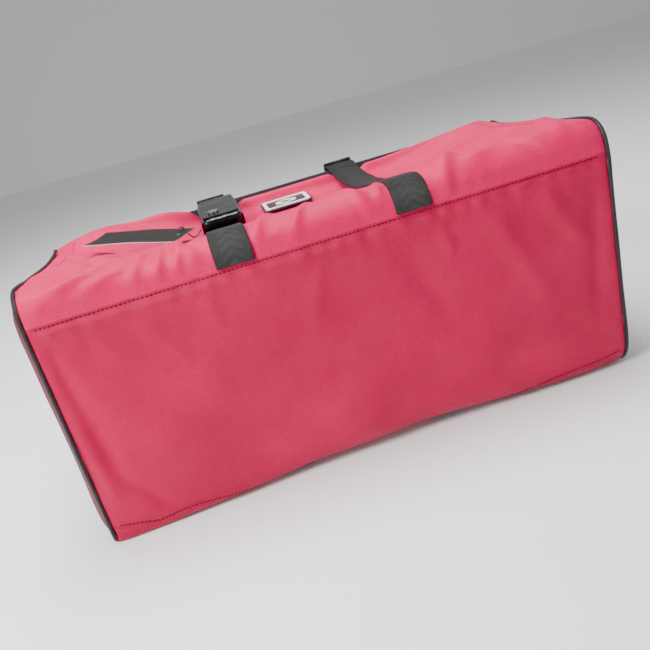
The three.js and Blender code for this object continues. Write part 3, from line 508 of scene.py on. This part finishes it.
def back(x, q):
    """Points of the base and back panels: q 0 to 1 is the base, to 2 its lower corner, to 3 the back
    panel on the floor and to 4 its rear corner."""
    x, q = np.broadcast_arrays(np.asarray(x, float), np.asarray(q, float))
    a, h = np.interp(x, LOW_X, CORNER), np.interp(x, LOW_X, LIFT)
    a = (np.interp(x - 16, LOW_X, CORNER) + a * 2 + np.interp(x + 16, LOW_X, CORNER)) / 4
    h = (np.interp(x - 22, LOW_X, LIFT) + h * 2 + np.interp(x + 22, LOW_X, LIFT)) / 4
    b = 0.86 * a
    t1, t2, t3, t4 = (np.clip(q - k, 0, 1) for k in range(4))
    z1 = TOP + (h + a - TOP) * t1
    y2, z2 = b * t2 ** 2, h + a * (1 - t2) ** 2
    y3 = b + (263 - b) * t3
    z3 = h * (1 - smooth(y3, b, b + 70))
    y4, z4 = 287 - 24 * (1 - t4) ** 2, 24.4 * t4 ** 2
    y = np.select([q <= 1, q <= 2, q <= 3], [0 * x, y2, y3], y4)
    z = np.select([q <= 1, q <= 2, q <= 3], [z1, z2, z3], z4)
    inward = smooth(HALF - np.abs(x), 0, 14)
    swell = 5.5 * np.sin(np.clip((TOP - z) / SEAM, 0, 1) * math.pi) ** 0.8 * (1 - (np.abs(x) / HALF) ** 5)
    folds = sum(crease(x, z, *c) for c in BASE_CREASES)
    folds = folds + 0.9 * np.sin(x / 31 + z / 17) * np.sin(z / 37 - x / 71) + 0.35 * np.sin(x / 11 + z / 15)
    gathers = 0.55 * np.sin(x / 3.1 + 1.4 * np.sin(x / 19)) + 0.5 * np.sin(x / 6.7)
    pucker = np.exp(-((z - 216) / 7) ** 2) * gathers
    lip = 1.3 * np.exp(-((z - 214.5) / 5) ** 2) - 1.1 * np.exp(-((z - 221.6) / 1.5) ** 2)
    face = (1 - smooth(q, 1.0, 1.75)) * smooth(TOP - z, 0, 2)
    y = y - (swell + folds * smooth(TOP - z, 4, 30) + pucker + lip) * face * inward
    y = y + 2.0 * np.exp(-(HALF - np.abs(x)) / 3.5) * (q < 2) * np.clip(2 - q, 0, 1)
    under = smooth(q, 1.7, 2.1) * (1 - smooth(q, 3.0, 3.3))
    z = z + under * (0.8 + 0.5 * np.sin(x / 27) * np.sin(y / 33)) * smooth(HALF - np.abs(x), 0, 20)
    near = np.minimum(np.abs(x - STRAPS[0]), np.abs(x - STRAPS[1]))
    z = z + smooth(q, 1.75, 2.2) * (1 - smooth(near, 18, 25)) * np.maximum(3.1 - z, 0)
    return np.stack([stretch(x), y, z], -1)


SEAM_X = [-262, -225, -200, -150, -112, 112, 158, 200, 262]
SEAM_Q = [0.945, 1.0, 1.085, 1.47, 1.86, 1.86, 1.5, 1.3, 1.27]


def seam_q(x):
    """Where the base panel's lower seam runs: in sight at the ends, rolled under in the middle."""
    at = [np.interp(np.asarray(x, float) + d, SEAM_X, SEAM_Q) for d in (-14, -7, 0, 7, 14)]
    return sum(at) / 5


def top(x, s):
    """Points of the top panel: s 0 to 1 rises, to 2 turns in towards the zip, to 3 reaches it."""
    x, s = np.broadcast_arrays(np.asarray(x, float), np.asarray(s, float))
    t1, t2, t3 = (np.clip(s - k, 0, 1) for k in range(3))
    y = np.select([s <= 1, s <= 2], [287 + 0 * s, 287 - 7.6 * t2 ** 2], 279.4 + (251.4 - 279.4) * t3)
    turned = 214.5 + (2 * (1 - t2) * t2 + t2 ** 2) * 12 + t2 ** 2 * 4.0
    z = np.select([s <= 1, s <= 2], [24.4 + (214.5 - 24.4) * t1, turned], 230.5 + (236.4 - 230.5) * t3)
    swell = 4.5 * np.sin(np.clip((z - 24) / 206, 0, 1) * math.pi) ** 0.8 * (1 - (np.abs(x) / HALF) ** 5)
    folds = crease(x, z, -240, 60, -200, 180, 10, 2.5) + crease(x, z, 150, 60, 230, 170, 12, 2.5)
    folds = folds + crease(x, z, -60, 200, 20, 120, 12, 2) + crease(x, z, 60, 60, 120, 130, 12, 2)
    folds = folds + crease(x, z, -170, 120, -110, 40, 12, -2)
    folds = folds + 0.9 * np.sin(x / 29 + z / 21) * np.sin(z / 33 - x / 61)
    face = smooth(z, 26, 50) * (1 - smooth(z, 190, 216))
    under_loop = np.exp(-((x + 4) / 122) ** 8) * smooth(z, 62, 84)
    swell = swell * (1 - under_loop) - 1.2 * under_loop      # flat where the handle's loop hangs
    folds = folds * (1 - under_loop) + 0.15 * np.minimum(folds, 2) * under_loop
    y = y + (swell + folds) * face * smooth(HALF - np.abs(x), 0, 14)
    y = y - 2.0 * np.exp(-(HALF - np.abs(x)) / 3.5) * (s < 2)
    return np.stack([stretch(x), y, z], -1)


def axis(low, high, count, *extra):
    return np.unique(np.round(np.concatenate([np.linspace(low, high, count), extra]), 3))


# ---- Panels ---------------------------------------------------------------------
NYLON = 1.8         # thickness of the cloth, in mm
FOLD_T = 0.392      # the mouth's cloth starts here, in front of the hinge line
xs_full = axis(-HALF, HALF, 211, -259.5, 259.5, -261, 261, -238.2, 238.2)
ts_full = axis(0, 1, 111, FOLD_T, 0.01, 0.03)
gx, gt = np.meshgrid(xs_full, ts_full, indexing="ij")
g, _ = front(gx, gt)
mid_x, mid_t = (xs_full[1:] + xs_full[:-1]) / 2, (ts_full[1:] + ts_full[:-1]) / 2
keep = (mid_t[None, :] < FOLD_T) | (np.abs(mid_x)[:, None] > 238.2)
front_cloth = cloth("front_cloth", g, NYLON, front_nylon_painted_light, keep)
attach(front_cloth, "shell")
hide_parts("front_panel")

xs_mouth = axis(-238.2, 238.2, 191)
ts_mouth = axis(FOLD_T, 1, 68, *np.linspace(0.93, 1, 14))
gx, gt = np.meshgrid(xs_mouth, ts_mouth, indexing="ij")
g, _ = front(gx, gt)
mouth_cloth = cloth("mouth_cloth", g, NYLON, front_nylon_painted_light)
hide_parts("mouth_flap")
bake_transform(mouth_cloth)

xs_base = axis(-HALF, HALF, 201, -259.5, 259.5, -261, 261)
shares = np.unique(np.concatenate([np.linspace(0, 1, 66), np.linspace(0, 0.05, 14)]))
gx = np.repeat(xs_base[:, None], len(shares), 1)
g = back(gx, shares[None, :] * seam_q(gx))
base_cloth = cloth("base_cloth", g, NYLON, base_nylon, flip=-1)
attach(base_cloth, "shell")
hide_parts("base_panel")

xs_back = axis(-HALF, HALF, 161, -259.5, 259.5, *[c + s for c in STRAPS for s in (-25, -18, 18, 25)])
gx = np.repeat(xs_back[:, None], 61, 1)
g = back(gx, seam_q(gx) + (4 - seam_q(gx)) * np.linspace(0, 1, 61)[None, :])
back_cloth = cloth("back_cloth", g, NYLON, back_nylon_painted_shade, flip=-1)
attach(back_cloth, "shell")
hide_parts("back_panel")

xs_top = axis(-HALF, HALF, 141, -259.5, 259.5, -246.8, 246.8)
ss = axis(0, 3, 61, 2.0)
gx, gs = np.meshgrid(xs_top, ss, indexing="ij")
g = top(gx, gs)
mid_x, mid_s = (xs_top[1:] + xs_top[:-1]) / 2, (ss[1:] + ss[:-1]) / 2
keep = (mid_s[None, :] < 2) | (np.abs(mid_x)[:, None] > 246.8)
top_cloth = cloth("top_cloth", g, NYLON, back_nylon_painted_shade, keep, flip=-1)
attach(top_cloth, "shell")
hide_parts("top_panel")


def outline(side):
    """The bag's closed outline in (y, z) at one end."""
    x = side * (HALF - 6)
    f = front(x, np.linspace(0, 1, 50))[0][:, 1:]
    r = top(x, np.linspace(0, 2.9, 46))[::-1, 1:]
    steps = [np.linspace(k, k + 1, count)[:-1] for k, count in enumerate((30, 16, 40, 10))]
    b = back(x, np.concatenate(steps))[::-1, 1:]
    loop = np.concatenate([f, r, b])
    # Even steps, lightly smoothed.
    closed = np.concatenate([loop, loop[:1]])
    run = np.concatenate([[0], np.cumsum(np.linalg.norm(np.diff(closed, axis=0), axis=1))])
    at = np.linspace(0, run[-1], 181)[:-1]
    even = np.stack([np.interp(at, run, closed[:, i]) for i in range(2)], 1)
    return (np.roll(even, 1, 0) + even * 2 + np.roll(even, -1, 0)) / 4


def inset(loop, by):
    along = np.roll(loop, -1, 0) - np.roll(loop, 1, 0)
    along /= np.linalg.norm(along, axis=1, keepdims=True)
    return loop + np.stack([along[:, 1], -along[:, 0]], 1) * by


def end_disc(name, side, loop, x0, dome, thickness, mats, rings=14, wrinkle=0.0):
    """A domed end: rings of its outline shrinking to the middle, two skins and a rim."""
    middle, count = loop.mean(0), len(loop)
    scales = np.cos(np.linspace(0, math.pi / 2, rings + 1))[:-1] ** 0.7
    skins = []
    for depth in (0, thickness):
        pts = []
        for s in scales:
            ring = middle + (loop - middle) * s
            y, z = ring[:, 0], ring[:, 1]
            out = x0 + dome * (1 - s ** 9) - depth
            w = wrinkle * (1 - s ** 6) * (np.sin(y / 23 + z / 31) + 0.7 * np.sin(z / 17 - y / 41))
            pts.append(np.stack([side * (out + w), y, z], 1))
        pts.append(np.array([[side * (x0 + dome - depth), *middle]]))
        skins.append(np.concatenate(pts))
    points = np.concatenate(skins)
    offset, faces = len(skins[0]), []
    for skin in range(2):
        for r in range(rings - 1):
            for i in range(count):
                a, b = skin * offset + r * count + i, skin * offset + r * count + (i + 1) % count
                faces.append((a, b, b + count, a + count))
        for i in range(count):
            last = skin * offset + (rings - 1) * count
            faces.append((last + i, last + (i + 1) % count, skin * offset + rings * count))
    for i in range(count):
        faces.append((i, (i + 1) % count, offset + (i + 1) % count, offset + i))
    obj = build(name, points, faces, mats, points[:, 1:] / 1000)
    recalc(obj)
    return obj


def tube(name, side, loop, x, radius, mats, ribs=12):
    along = np.roll(loop, -1, 0) - np.roll(loop, 1, 0)
    along /= np.linalg.norm(along, axis=1, keepdims=True)
    out = np.stack([-along[:, 1], along[:, 0]], 1)
    angles = np.arange(ribs) * 2 * math.pi / ribs
    points = np.stack([
        np.broadcast_to(x + radius * np.sin(angles) * side, (len(loop), ribs)),
        loop[:, :1] + out[:, :1] * radius * np.cos(angles),
        loop[:, 1:] + out[:, 1:] * radius * np.cos(angles)], -1)
    run = np.arange(len(loop)) * np.linalg.norm(loop[1] - loop[0])
    uv = np.stack(np.broadcast_arrays(angles[None, :] * radius, run[:, None]), -1).reshape(-1, 2) / 1000
    n, faces = len(loop), []
    for i in range(n):
        for j in range(ribs):
            k, m = (i + 1) % n, (j + 1) % ribs
            faces.append((i * ribs + j, k * ribs + j, k * ribs + m, i * ribs + m))
    obj = build(name, points.reshape(-1, 3), faces, mats, uv)
    recalc(obj)
    return obj


for name, side, past, dome in (("left", -1, 7.0, 16.0), ("right", 1, 5.0, 11.0)):
    loop = outline(side)
    disc = end_disc(f"end_cloth_{name}", side, inset(loop, 3.6), HALF + past + 0.4, dome, NYLON,
                    end_nylon_painted_shade, wrinkle=0.7)
    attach(disc, "shell")
    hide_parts(f"end_panel_{name}")
    pipe = tube(f"piping_cloth_{name}", side, inset(loop, 1.2), side * (263.6 + past), 1.8, piping_cloth)
    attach(pipe, "shell")
    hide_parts(f"piping_{name}")
    inner = end_disc(f"lining_end_cloth_{name}", side, inset(loop, 8), HALF - 4, 3.0, 1.2,
                     lining_cloth, rings=8)
    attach(inner, "shell")
    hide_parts(f"lining_end_{name}")

# ---- Lining ---------------------------------------------------------------------
half = HALF - 6
xs_lining = axis(-half, half, 91)


def inward(g, by, flip):
    return g - grid_normals(g) * by * flip


rows_front = front(xs_lining[:, None], np.linspace(0.415, 0.03, 26)[None, :])[0]
rows_front = inward(rows_front[:, ::-1], 3.4, 1)[:, ::-1]
qs = np.concatenate([np.linspace(0.03, 1, 26), np.linspace(1.05, 2, 14),
                     np.linspace(2.06, 3, 26), np.linspace(3.2, 4, 6)])
rows_back = inward(back(xs_lining[:, None], qs[None, :]), 3.4, -1)
rows_top = inward(top(xs_lining[:, None], np.linspace(0.03, 1.7, 30)[None, :]), 3.4, -1)
lining = cloth("lining_cloth_wrap", np.concatenate([rows_front, rows_back, rows_top], 1), 1.0,
               lining_cloth, flip=-1)
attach(lining, "shell")
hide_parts("lining_wrap")

xs = axis(-231, 231, 71)
g, _ = front(xs[:, None], np.linspace(0.475, 0.985, 41)[None, :])
flap_lining = cloth("lining_cloth_flap", inward(g, 3.4, 1), 1.0, lining_cloth)
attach(flap_lining, "mouth")
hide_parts("lining_flap")

HINGE_Y, HINGE_Z = 70, 250.6    # the axis that the mouth opens about
for name, side in (("left", -1), ("right", 1)):
    prof = front(side * 236.0, np.linspace(0.474, 0.98, 26))
    yz = prof[0][:, 1:] - prof[1][:, 1:] * 4.6
    angles = np.radians(np.linspace(0, -68, 29))
    rel = yz - (HINGE_Y, HINGE_Z)
    ys = HINGE_Y + rel[:, :1] * np.cos(angles) - rel[:, 1:] * np.sin(angles)
    zs = HINGE_Z + rel[:, :1] * np.sin(angles) + rel[:, 1:] * np.cos(angles)
    reach = np.linalg.norm(rel, axis=1)[:, None] / 180
    fold = 1.1 * (1 - np.cos(angles[None, :] * 21)) * reach
    g = np.stack([side * (235.2 - fold), ys, zs], -1)
    gusset = cloth(f"gusset_cloth_{name}", g, 0.8, lining_cloth, flip=-side)
    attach(gusset, "mouth")
    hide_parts(f"gusset_{name}")

# ---- Foam cradle ----------------------------------------------------------------
cx, cz = axis(-228, 228, 115), axis(32, 216, 57)
gx, gz = np.meshgrid(cx, cz, indexing="ij")
high = np.full(gx.shape, 43.3)
BALL = 108          # radius of a bowling ball
for centre in (-112, 112):
    rest = BALL ** 2 - (gx - centre) ** 2 - (gz - 124) ** 2
    high = np.where(rest > 0, np.minimum(high, 127.3 - np.sqrt(np.maximum(rest, 0))), high)
edge = np.minimum.reduce([gx + 228, 228 - gx, gz - 32, 216 - gz])
high = high - 5 * np.exp(-edge / 5)
low = 13.5 + 3.5 * np.exp(-(gz - 32) / 10)
outer = np.stack([gx, high, gz], -1)
under = np.stack([gx, low, gz], -1)
ni, nj = gx.shape
ids = np.arange(ni * nj).reshape(ni, nj)
quads = np.stack([ids[:-1, :-1], ids[1:, :-1], ids[1:, 1:], ids[:-1, 1:]], -1).reshape(-1, 4)
faces = [*quads, *(quads[:, ::-1] + ni * nj)]
rim = [*ids[:, 0], *ids[-1, 1:], *ids[::-1, -1][1:], *ids[0, ::-1][1:-1]]
for k, a in enumerate(rim):
    b = rim[(k + 1) % len(rim)]
    faces.append((a, b, b + ni * nj, a + ni * nj))
cradle = build("foam_cradle", np.concatenate([outer.reshape(-1, 3), under.reshape(-1, 3)]), faces, foam)
recalc(cradle)
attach(cradle, "shell")
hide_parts("ball_cradle")


# ---- Handles --------------------------------------------------------------------
def over(points):
    """Three-dimensional strap centres from (y, z) points, evenly spaced and smoothed."""
    p = np.asarray(points, float)
    run = np.concatenate([[0], np.cumsum(np.linalg.norm(np.diff(p, axis=0), axis=1))])
    at = np.linspace(0, run[-1], int(run[-1] / 2.5) + 2)
    e = np.stack([np.interp(at, run, p[:, i]) for i in range(2)], 1)
    for _ in range(4):
        e[1:-1] = (e[:-2] + 2 * e[1:-1] + e[2:]) / 4
    return e


def strap_base(x, t):
    """The smooth front surface under a strap, without its wrinkles."""
    e = smooth(abs(x), 152, 241)
    return spline(MIDDLE, t) * (1 - e) + spline(ENDS, t) * e


def raised(t0, t1, count, lift):
    t = np.linspace(t0, t1, count)
    p = strap_base(0, t)
    along = strap_base(0, np.minimum(t + 0.004, 1)) - strap_base(0, np.maximum(t - 0.004, 0))
    along /= np.linalg.norm(along, axis=1, keepdims=True)
    return p + np.stack([-along[:, 1], along[:, 0]], 1) * lift


over_zip = [(256, 236.25), (261, 238.45), (266, 238.75), (284, 238.75)]
legs = {
    "left": [*raised(0.012, 0.645, 60, 2.6), (158, 225.2), (246, 229.4), *over_zip],
    "right": [*raised(0.012, 0.40, 40, 2.6), (90, 240.5), (130, 232.5), (170, 229), (215, 229.5),
              (248, 233.6), *over_zip]}
for (name, points), x in zip(legs.items(), STRAPS):
    yz = over(points)
    centres = np.stack([np.full(len(yz), x), yz[:, 0], yz[:, 1]], 1)
    across = np.tile((-1.0, 0, 0), (len(yz), 1))
    strap = ribbon(f"front_strap_{name}", centres, across, webbing)
    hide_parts(f"handle_front_root_{name}", f"handle_front_leg_{name}")
    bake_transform(strap)
    t = np.gradient(centres, axis=0)
    n = np.cross((-1.0, 0, 0), t)
    n /= np.linalg.norm(n, axis=1, keepdims=True)
    for k, side in enumerate((-1, 1)):
        seam = stitches(f"front_strap_{name}_stitch_{k}", centres + n * 2.25 + (side * 12.6, 0, 0), n,
                        thread_black, pitch=4.4, length=3.1, radius=0.42)
        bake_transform(seam)


def loop_path(place, lead):
    """Centreline and across vectors of a handle's loop: a bow of (x, drop) set in space by place(),
    between two straight leads of (y, z) points over the straps."""
    flat = spline([(-82, 0), (-80.4, 52.5), (-68.9, 99), (-36.1, 130.5), (0, 138), (36.1, 130.5), (68.9, 99),
                   (80.4, 52.5), (82, 0)], np.linspace(0, 1, 121))
    along = np.gradient(flat, axis=0)
    along /= np.linalg.norm(along, axis=1, keepdims=True)
    along[0], along[-1] = (0, 1), (0, -1)
    side = np.stack([along[:, 1], -along[:, 0]], 1)
    middle = sum(STRAPS) / 2
    centres = np.array([place(x + middle, d) for x, d in flat])
    beside = np.array([place(x + middle + a, d + b) for (x, d), (a, b) in zip(flat, side)])
    across = beside - centres
    start = np.array([(STRAPS[0], y, z) for y, z in lead])
    end = np.array([(STRAPS[1], y, z) for y, z in lead])[::-1]
    c = np.concatenate([start, centres, end])
    a = np.concatenate([np.tile(across[0], (len(start), 1)), across, np.tile(across[-1], (len(end), 1))])
    return c, a


c, a = loop_path(lambda x, d: (x, 288.8, 232.0 - d),
                 [(279, 238.9), (283, 239.0), (286, 238.5), (288, 236.8), (288.8, 234.4)])
front_loop = ribbon("front_loop", c, a, webbing)
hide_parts("handle_front_loop")
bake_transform(front_loop)

for name, x in zip(("left", "right"), STRAPS):
    _, y, z = back(x, float(seam_q(x)))
    yz = over([(y + 0.5, z - 2.4), (y + 12, max(z - 14, 4.5)), (y + 32, 2.4), (90, 2.4), (284, 2.4)])
    centres = np.stack([np.full(len(yz), x), yz[:, 0], np.maximum(yz[:, 1], 2.4)], 1)
    strap = ribbon(f"back_strap_{name}", centres, np.tile((1.0, 0, 0), (len(yz), 1)), webbing)
    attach(strap, "shell")
    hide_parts(f"handle_back_strap_{name}")
c, a = loop_path(lambda x, d: (x, 296 + d, 2.4), [(282, 2.4), (287, 2.4), (292, 2.4)])
back_loop = ribbon("back_loop", c, -a, webbing)
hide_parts("handle_back_loop")
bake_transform(back_loop)

# ---- Zip ------------------------------------------------------------------------
for name, y, side, body in (("front", 263.8, 1, "mouth"), ("back", 268.2, -1, "shell")):
    points, faces = [], []
    for i in range(236):
        x = -236 + i * 2.0 + (0 if side > 0 else 1.0)
        first = len(points)
        for w, s in ((-1.15, 0.55), (0.2, 0.75), (1.15, 0.62)):
            for k in range(6):
                angle = k * math.pi / 3
                height = 233.5 + 1.15 * s / 0.75 * math.sin(angle)
                points.append((x + s * math.cos(angle) * 0.82, y + side * w, height))
        for r in range(2):
            for k in range(6):
                p, q = first + r * 6 + k, first + r * 6 + (k + 1) % 6
                faces.append((p, q, q + 6, p + 6))
        faces.append(tuple(first + k for k in range(6))[::-1])
        faces.append(tuple(first + 12 + k for k in range(6)))
    teeth = build(f"zip_teeth_{name}", points, faces, coil_plastic)
    recalc(teeth)
    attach(teeth, body)
    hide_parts(f"zip_coil_{name}")

# ---- Tag ------------------------------------------------------------------------
turn, rise = math.radians(149), math.radians(7)


def on_card(u, v, w):
    """A point on the tag: u along it from the string's end, v across it, w above it."""
    x, z = u * math.cos(rise) - w * math.sin(rise), u * math.sin(rise) + w * math.cos(rise)
    along, across = x * math.cos(turn) - v * math.sin(turn), x * math.sin(turn) + v * math.cos(turn)
    return (along - 122.5, across + 92, z + 243.4)


us = axis(0, 104, 53, 4.6, 7.4)
vs = axis(-20.5, 20.5, 22, -1.4, 1.4)
gu, gv = np.meshgrid(us, vs, indexing="ij")
curl = -2.6 * smooth(gu, 20, 115) + 1.3 * (gv / 20.5) ** 2 * smooth(gu, 10, 60) + 0.8
g = np.array([[on_card(gu[i, j], gv[i, j], curl[i, j]) for j in range(len(vs))] for i in range(len(us))])
mid_u, mid_v = (us[1:] + us[:-1]) / 2, (vs[1:] + vs[:-1]) / 2
keep = ~((np.abs(mid_u - 6) < 1.4)[:, None] & (np.abs(mid_v) < 1.4)[None, :])
card = cloth("tag_board", g, 0.8, [card_black, card_edge], keep)
faced = int(keep.sum()) * 2         # both skins come first, then the pale cut edge
card.data.polygons.foreach_set("material_index", [int(i >= faced) for i in range(len(card.data.polygons))])
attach(card, "tag")
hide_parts("tag_card")
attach(tag_cord, "tag")
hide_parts("tag_string")

# ---- Rolled front edge of the wrap ----------------------------------------------
points, faces = [], []
spans = np.linspace(-1, 1, 33)
for s in spans:
    r = 5.2 * (1 - abs(s) ** 14) ** 0.5 * (1 - 0.05 * s * s) + 0.25 * math.sin(9 * s)
    for k in range(20):
        angle = k * math.pi / 10
        points.append((-82 + 20.5 * s, 154.6 + r * math.cos(angle), 234.8 + r * 1.05 * math.sin(angle)))
for i in range(len(spans) - 1):
    for k in range(20):
        p, q = i * 20 + k, i * 20 + (k + 1) % 20
        faces.append((p, q, q + 20, p + 20))
faces += [tuple(range(20))[::-1], tuple(range(32 * 20, 33 * 20))]
roll = build("wrap_roll", points, faces, patent)
recalc(roll)
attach(roll, "mouth")

# ---- Stitching ------------------------------------------------------------------
xs = np.linspace(-256, 256, 520)


def upper_row(shift):
    """Points just below the upper seam."""
    return back(xs, 0.0125 + shift * 0.02)


def lower_row(shift):
    """Points just above the lower seam, a little farther from it where it rolls under."""
    return back(xs, seam_q(xs) - 0.012 - 0.05 * smooth(seam_q(xs), 1.0, 1.1) + shift)


def row_normals(points_of):
    """Outward normals of a row of points, from two neighbouring rows."""
    n = -np.cross(np.gradient(points_of(0.0), axis=0), points_of(0.02) - points_of(-0.02))
    n = n / np.linalg.norm(n, axis=1, keepdims=True)
    return np.where((n[:, 1:2] < 0) | (n[:, 2:3] < -0.5), n, -n)


for name, points_of in (("upper", upper_row), ("lower", lower_row)):
    seam = stitches(f"base_stitch_{name}", points_of(0.0), row_normals(points_of), thread_red)
    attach(seam, "shell")

# ---- CAD nodes that stay --------------------------------------------------------
finish = {
    "base_board": fibre_board, "zip_tape_front": tape_cloth, "zip_tape_back": tape_cloth,
    "zip_end_tab_left": tape_cloth, "zip_end_tab_right": tape_cloth, "zip_slider": steel, "zip_pull": steel,
    "wrap_sleeve": patent, "wrap_flap": patent, "wrap_snap_socket": steel, "wrap_snap_cap": steel,
    "badge_base": enamel_black, "badge_frame": enamel_white, "badge_motif": enamel_white, "tag_eyelet": steel}
for name, m in finish.items():
    for slot in nodes[name].material_slots:
        slot.material = m
for name, width in (("wrap_sleeve", 0.0012), ("wrap_flap", 0.0007), ("badge_base", 0.0004),
                    ("badge_frame", 0.0003), ("badge_motif", 0.0003), ("zip_slider", 0.0002),
                    ("zip_pull", 0.0002), ("wrap_snap_cap", 0.0005)):
    mod = nodes[name].modifiers.new("bevel", "BEVEL")
    mod.width, mod.segments, mod.limit_method, mod.angle_limit = width, 3, "ANGLE", math.radians(40)
    nodes[name].data.polygons.foreach_set("use_smooth", [False] * len(nodes[name].data.polygons))

# ---- Stage ----------------------------------------------------------------------
floor_mat = material("floor", (0.9, 0.9, 0.91), 0.8, Emission_Color=(1, 1, 1, 1), Emission_Strength=0.06)
mesh = bpy.data.meshes.new("floor")
corners = [(-6, -6, 0), (6, -6, 0), (6, 4, 0), (-6, 4, 0), (6, 4, 6), (-6, 4, 6)]
mesh.from_pydata(corners, [], [(0, 1, 2, 3), (3, 2, 4, 5)])
mesh.materials.append(floor_mat)
floor = bpy.data.objects.new("floor", mesh)
bpy.context.scene.collection.objects.link(floor)
floor.location.z = -0.0002


def lamp(name, place, aim, size, power):
    data = bpy.data.lights.new(name, "AREA")
    data.shape, data.size, data.energy = "SQUARE", size, power
    obj = bpy.data.objects.new(name, data)
    bpy.context.scene.collection.objects.link(obj)
    obj.location = place
    obj.rotation_euler = (Vector(aim) - Vector(place)).to_track_quat("-Z", "Y").to_euler()


lamp("key", (-0.95, -0.8, 1.0), (-0.1, 0, 0.18), 0.5, 30)
lamp("top", (-0.1, 0.15, 1.5), (0, 0, 0.15), 0.8, 34)
lamp("fill", (1.6, -0.9, 0.8), (0, 0, 0.12), 1.2, 5)
world = bpy.data.worlds.new("studio")
world.use_nodes = True
world.node_tree.nodes["Background"].inputs["Color"].default_value = (1, 1, 1, 1)
world.node_tree.nodes["Background"].inputs["Strength"].default_value = 0.24
bpy.context.scene.world = world
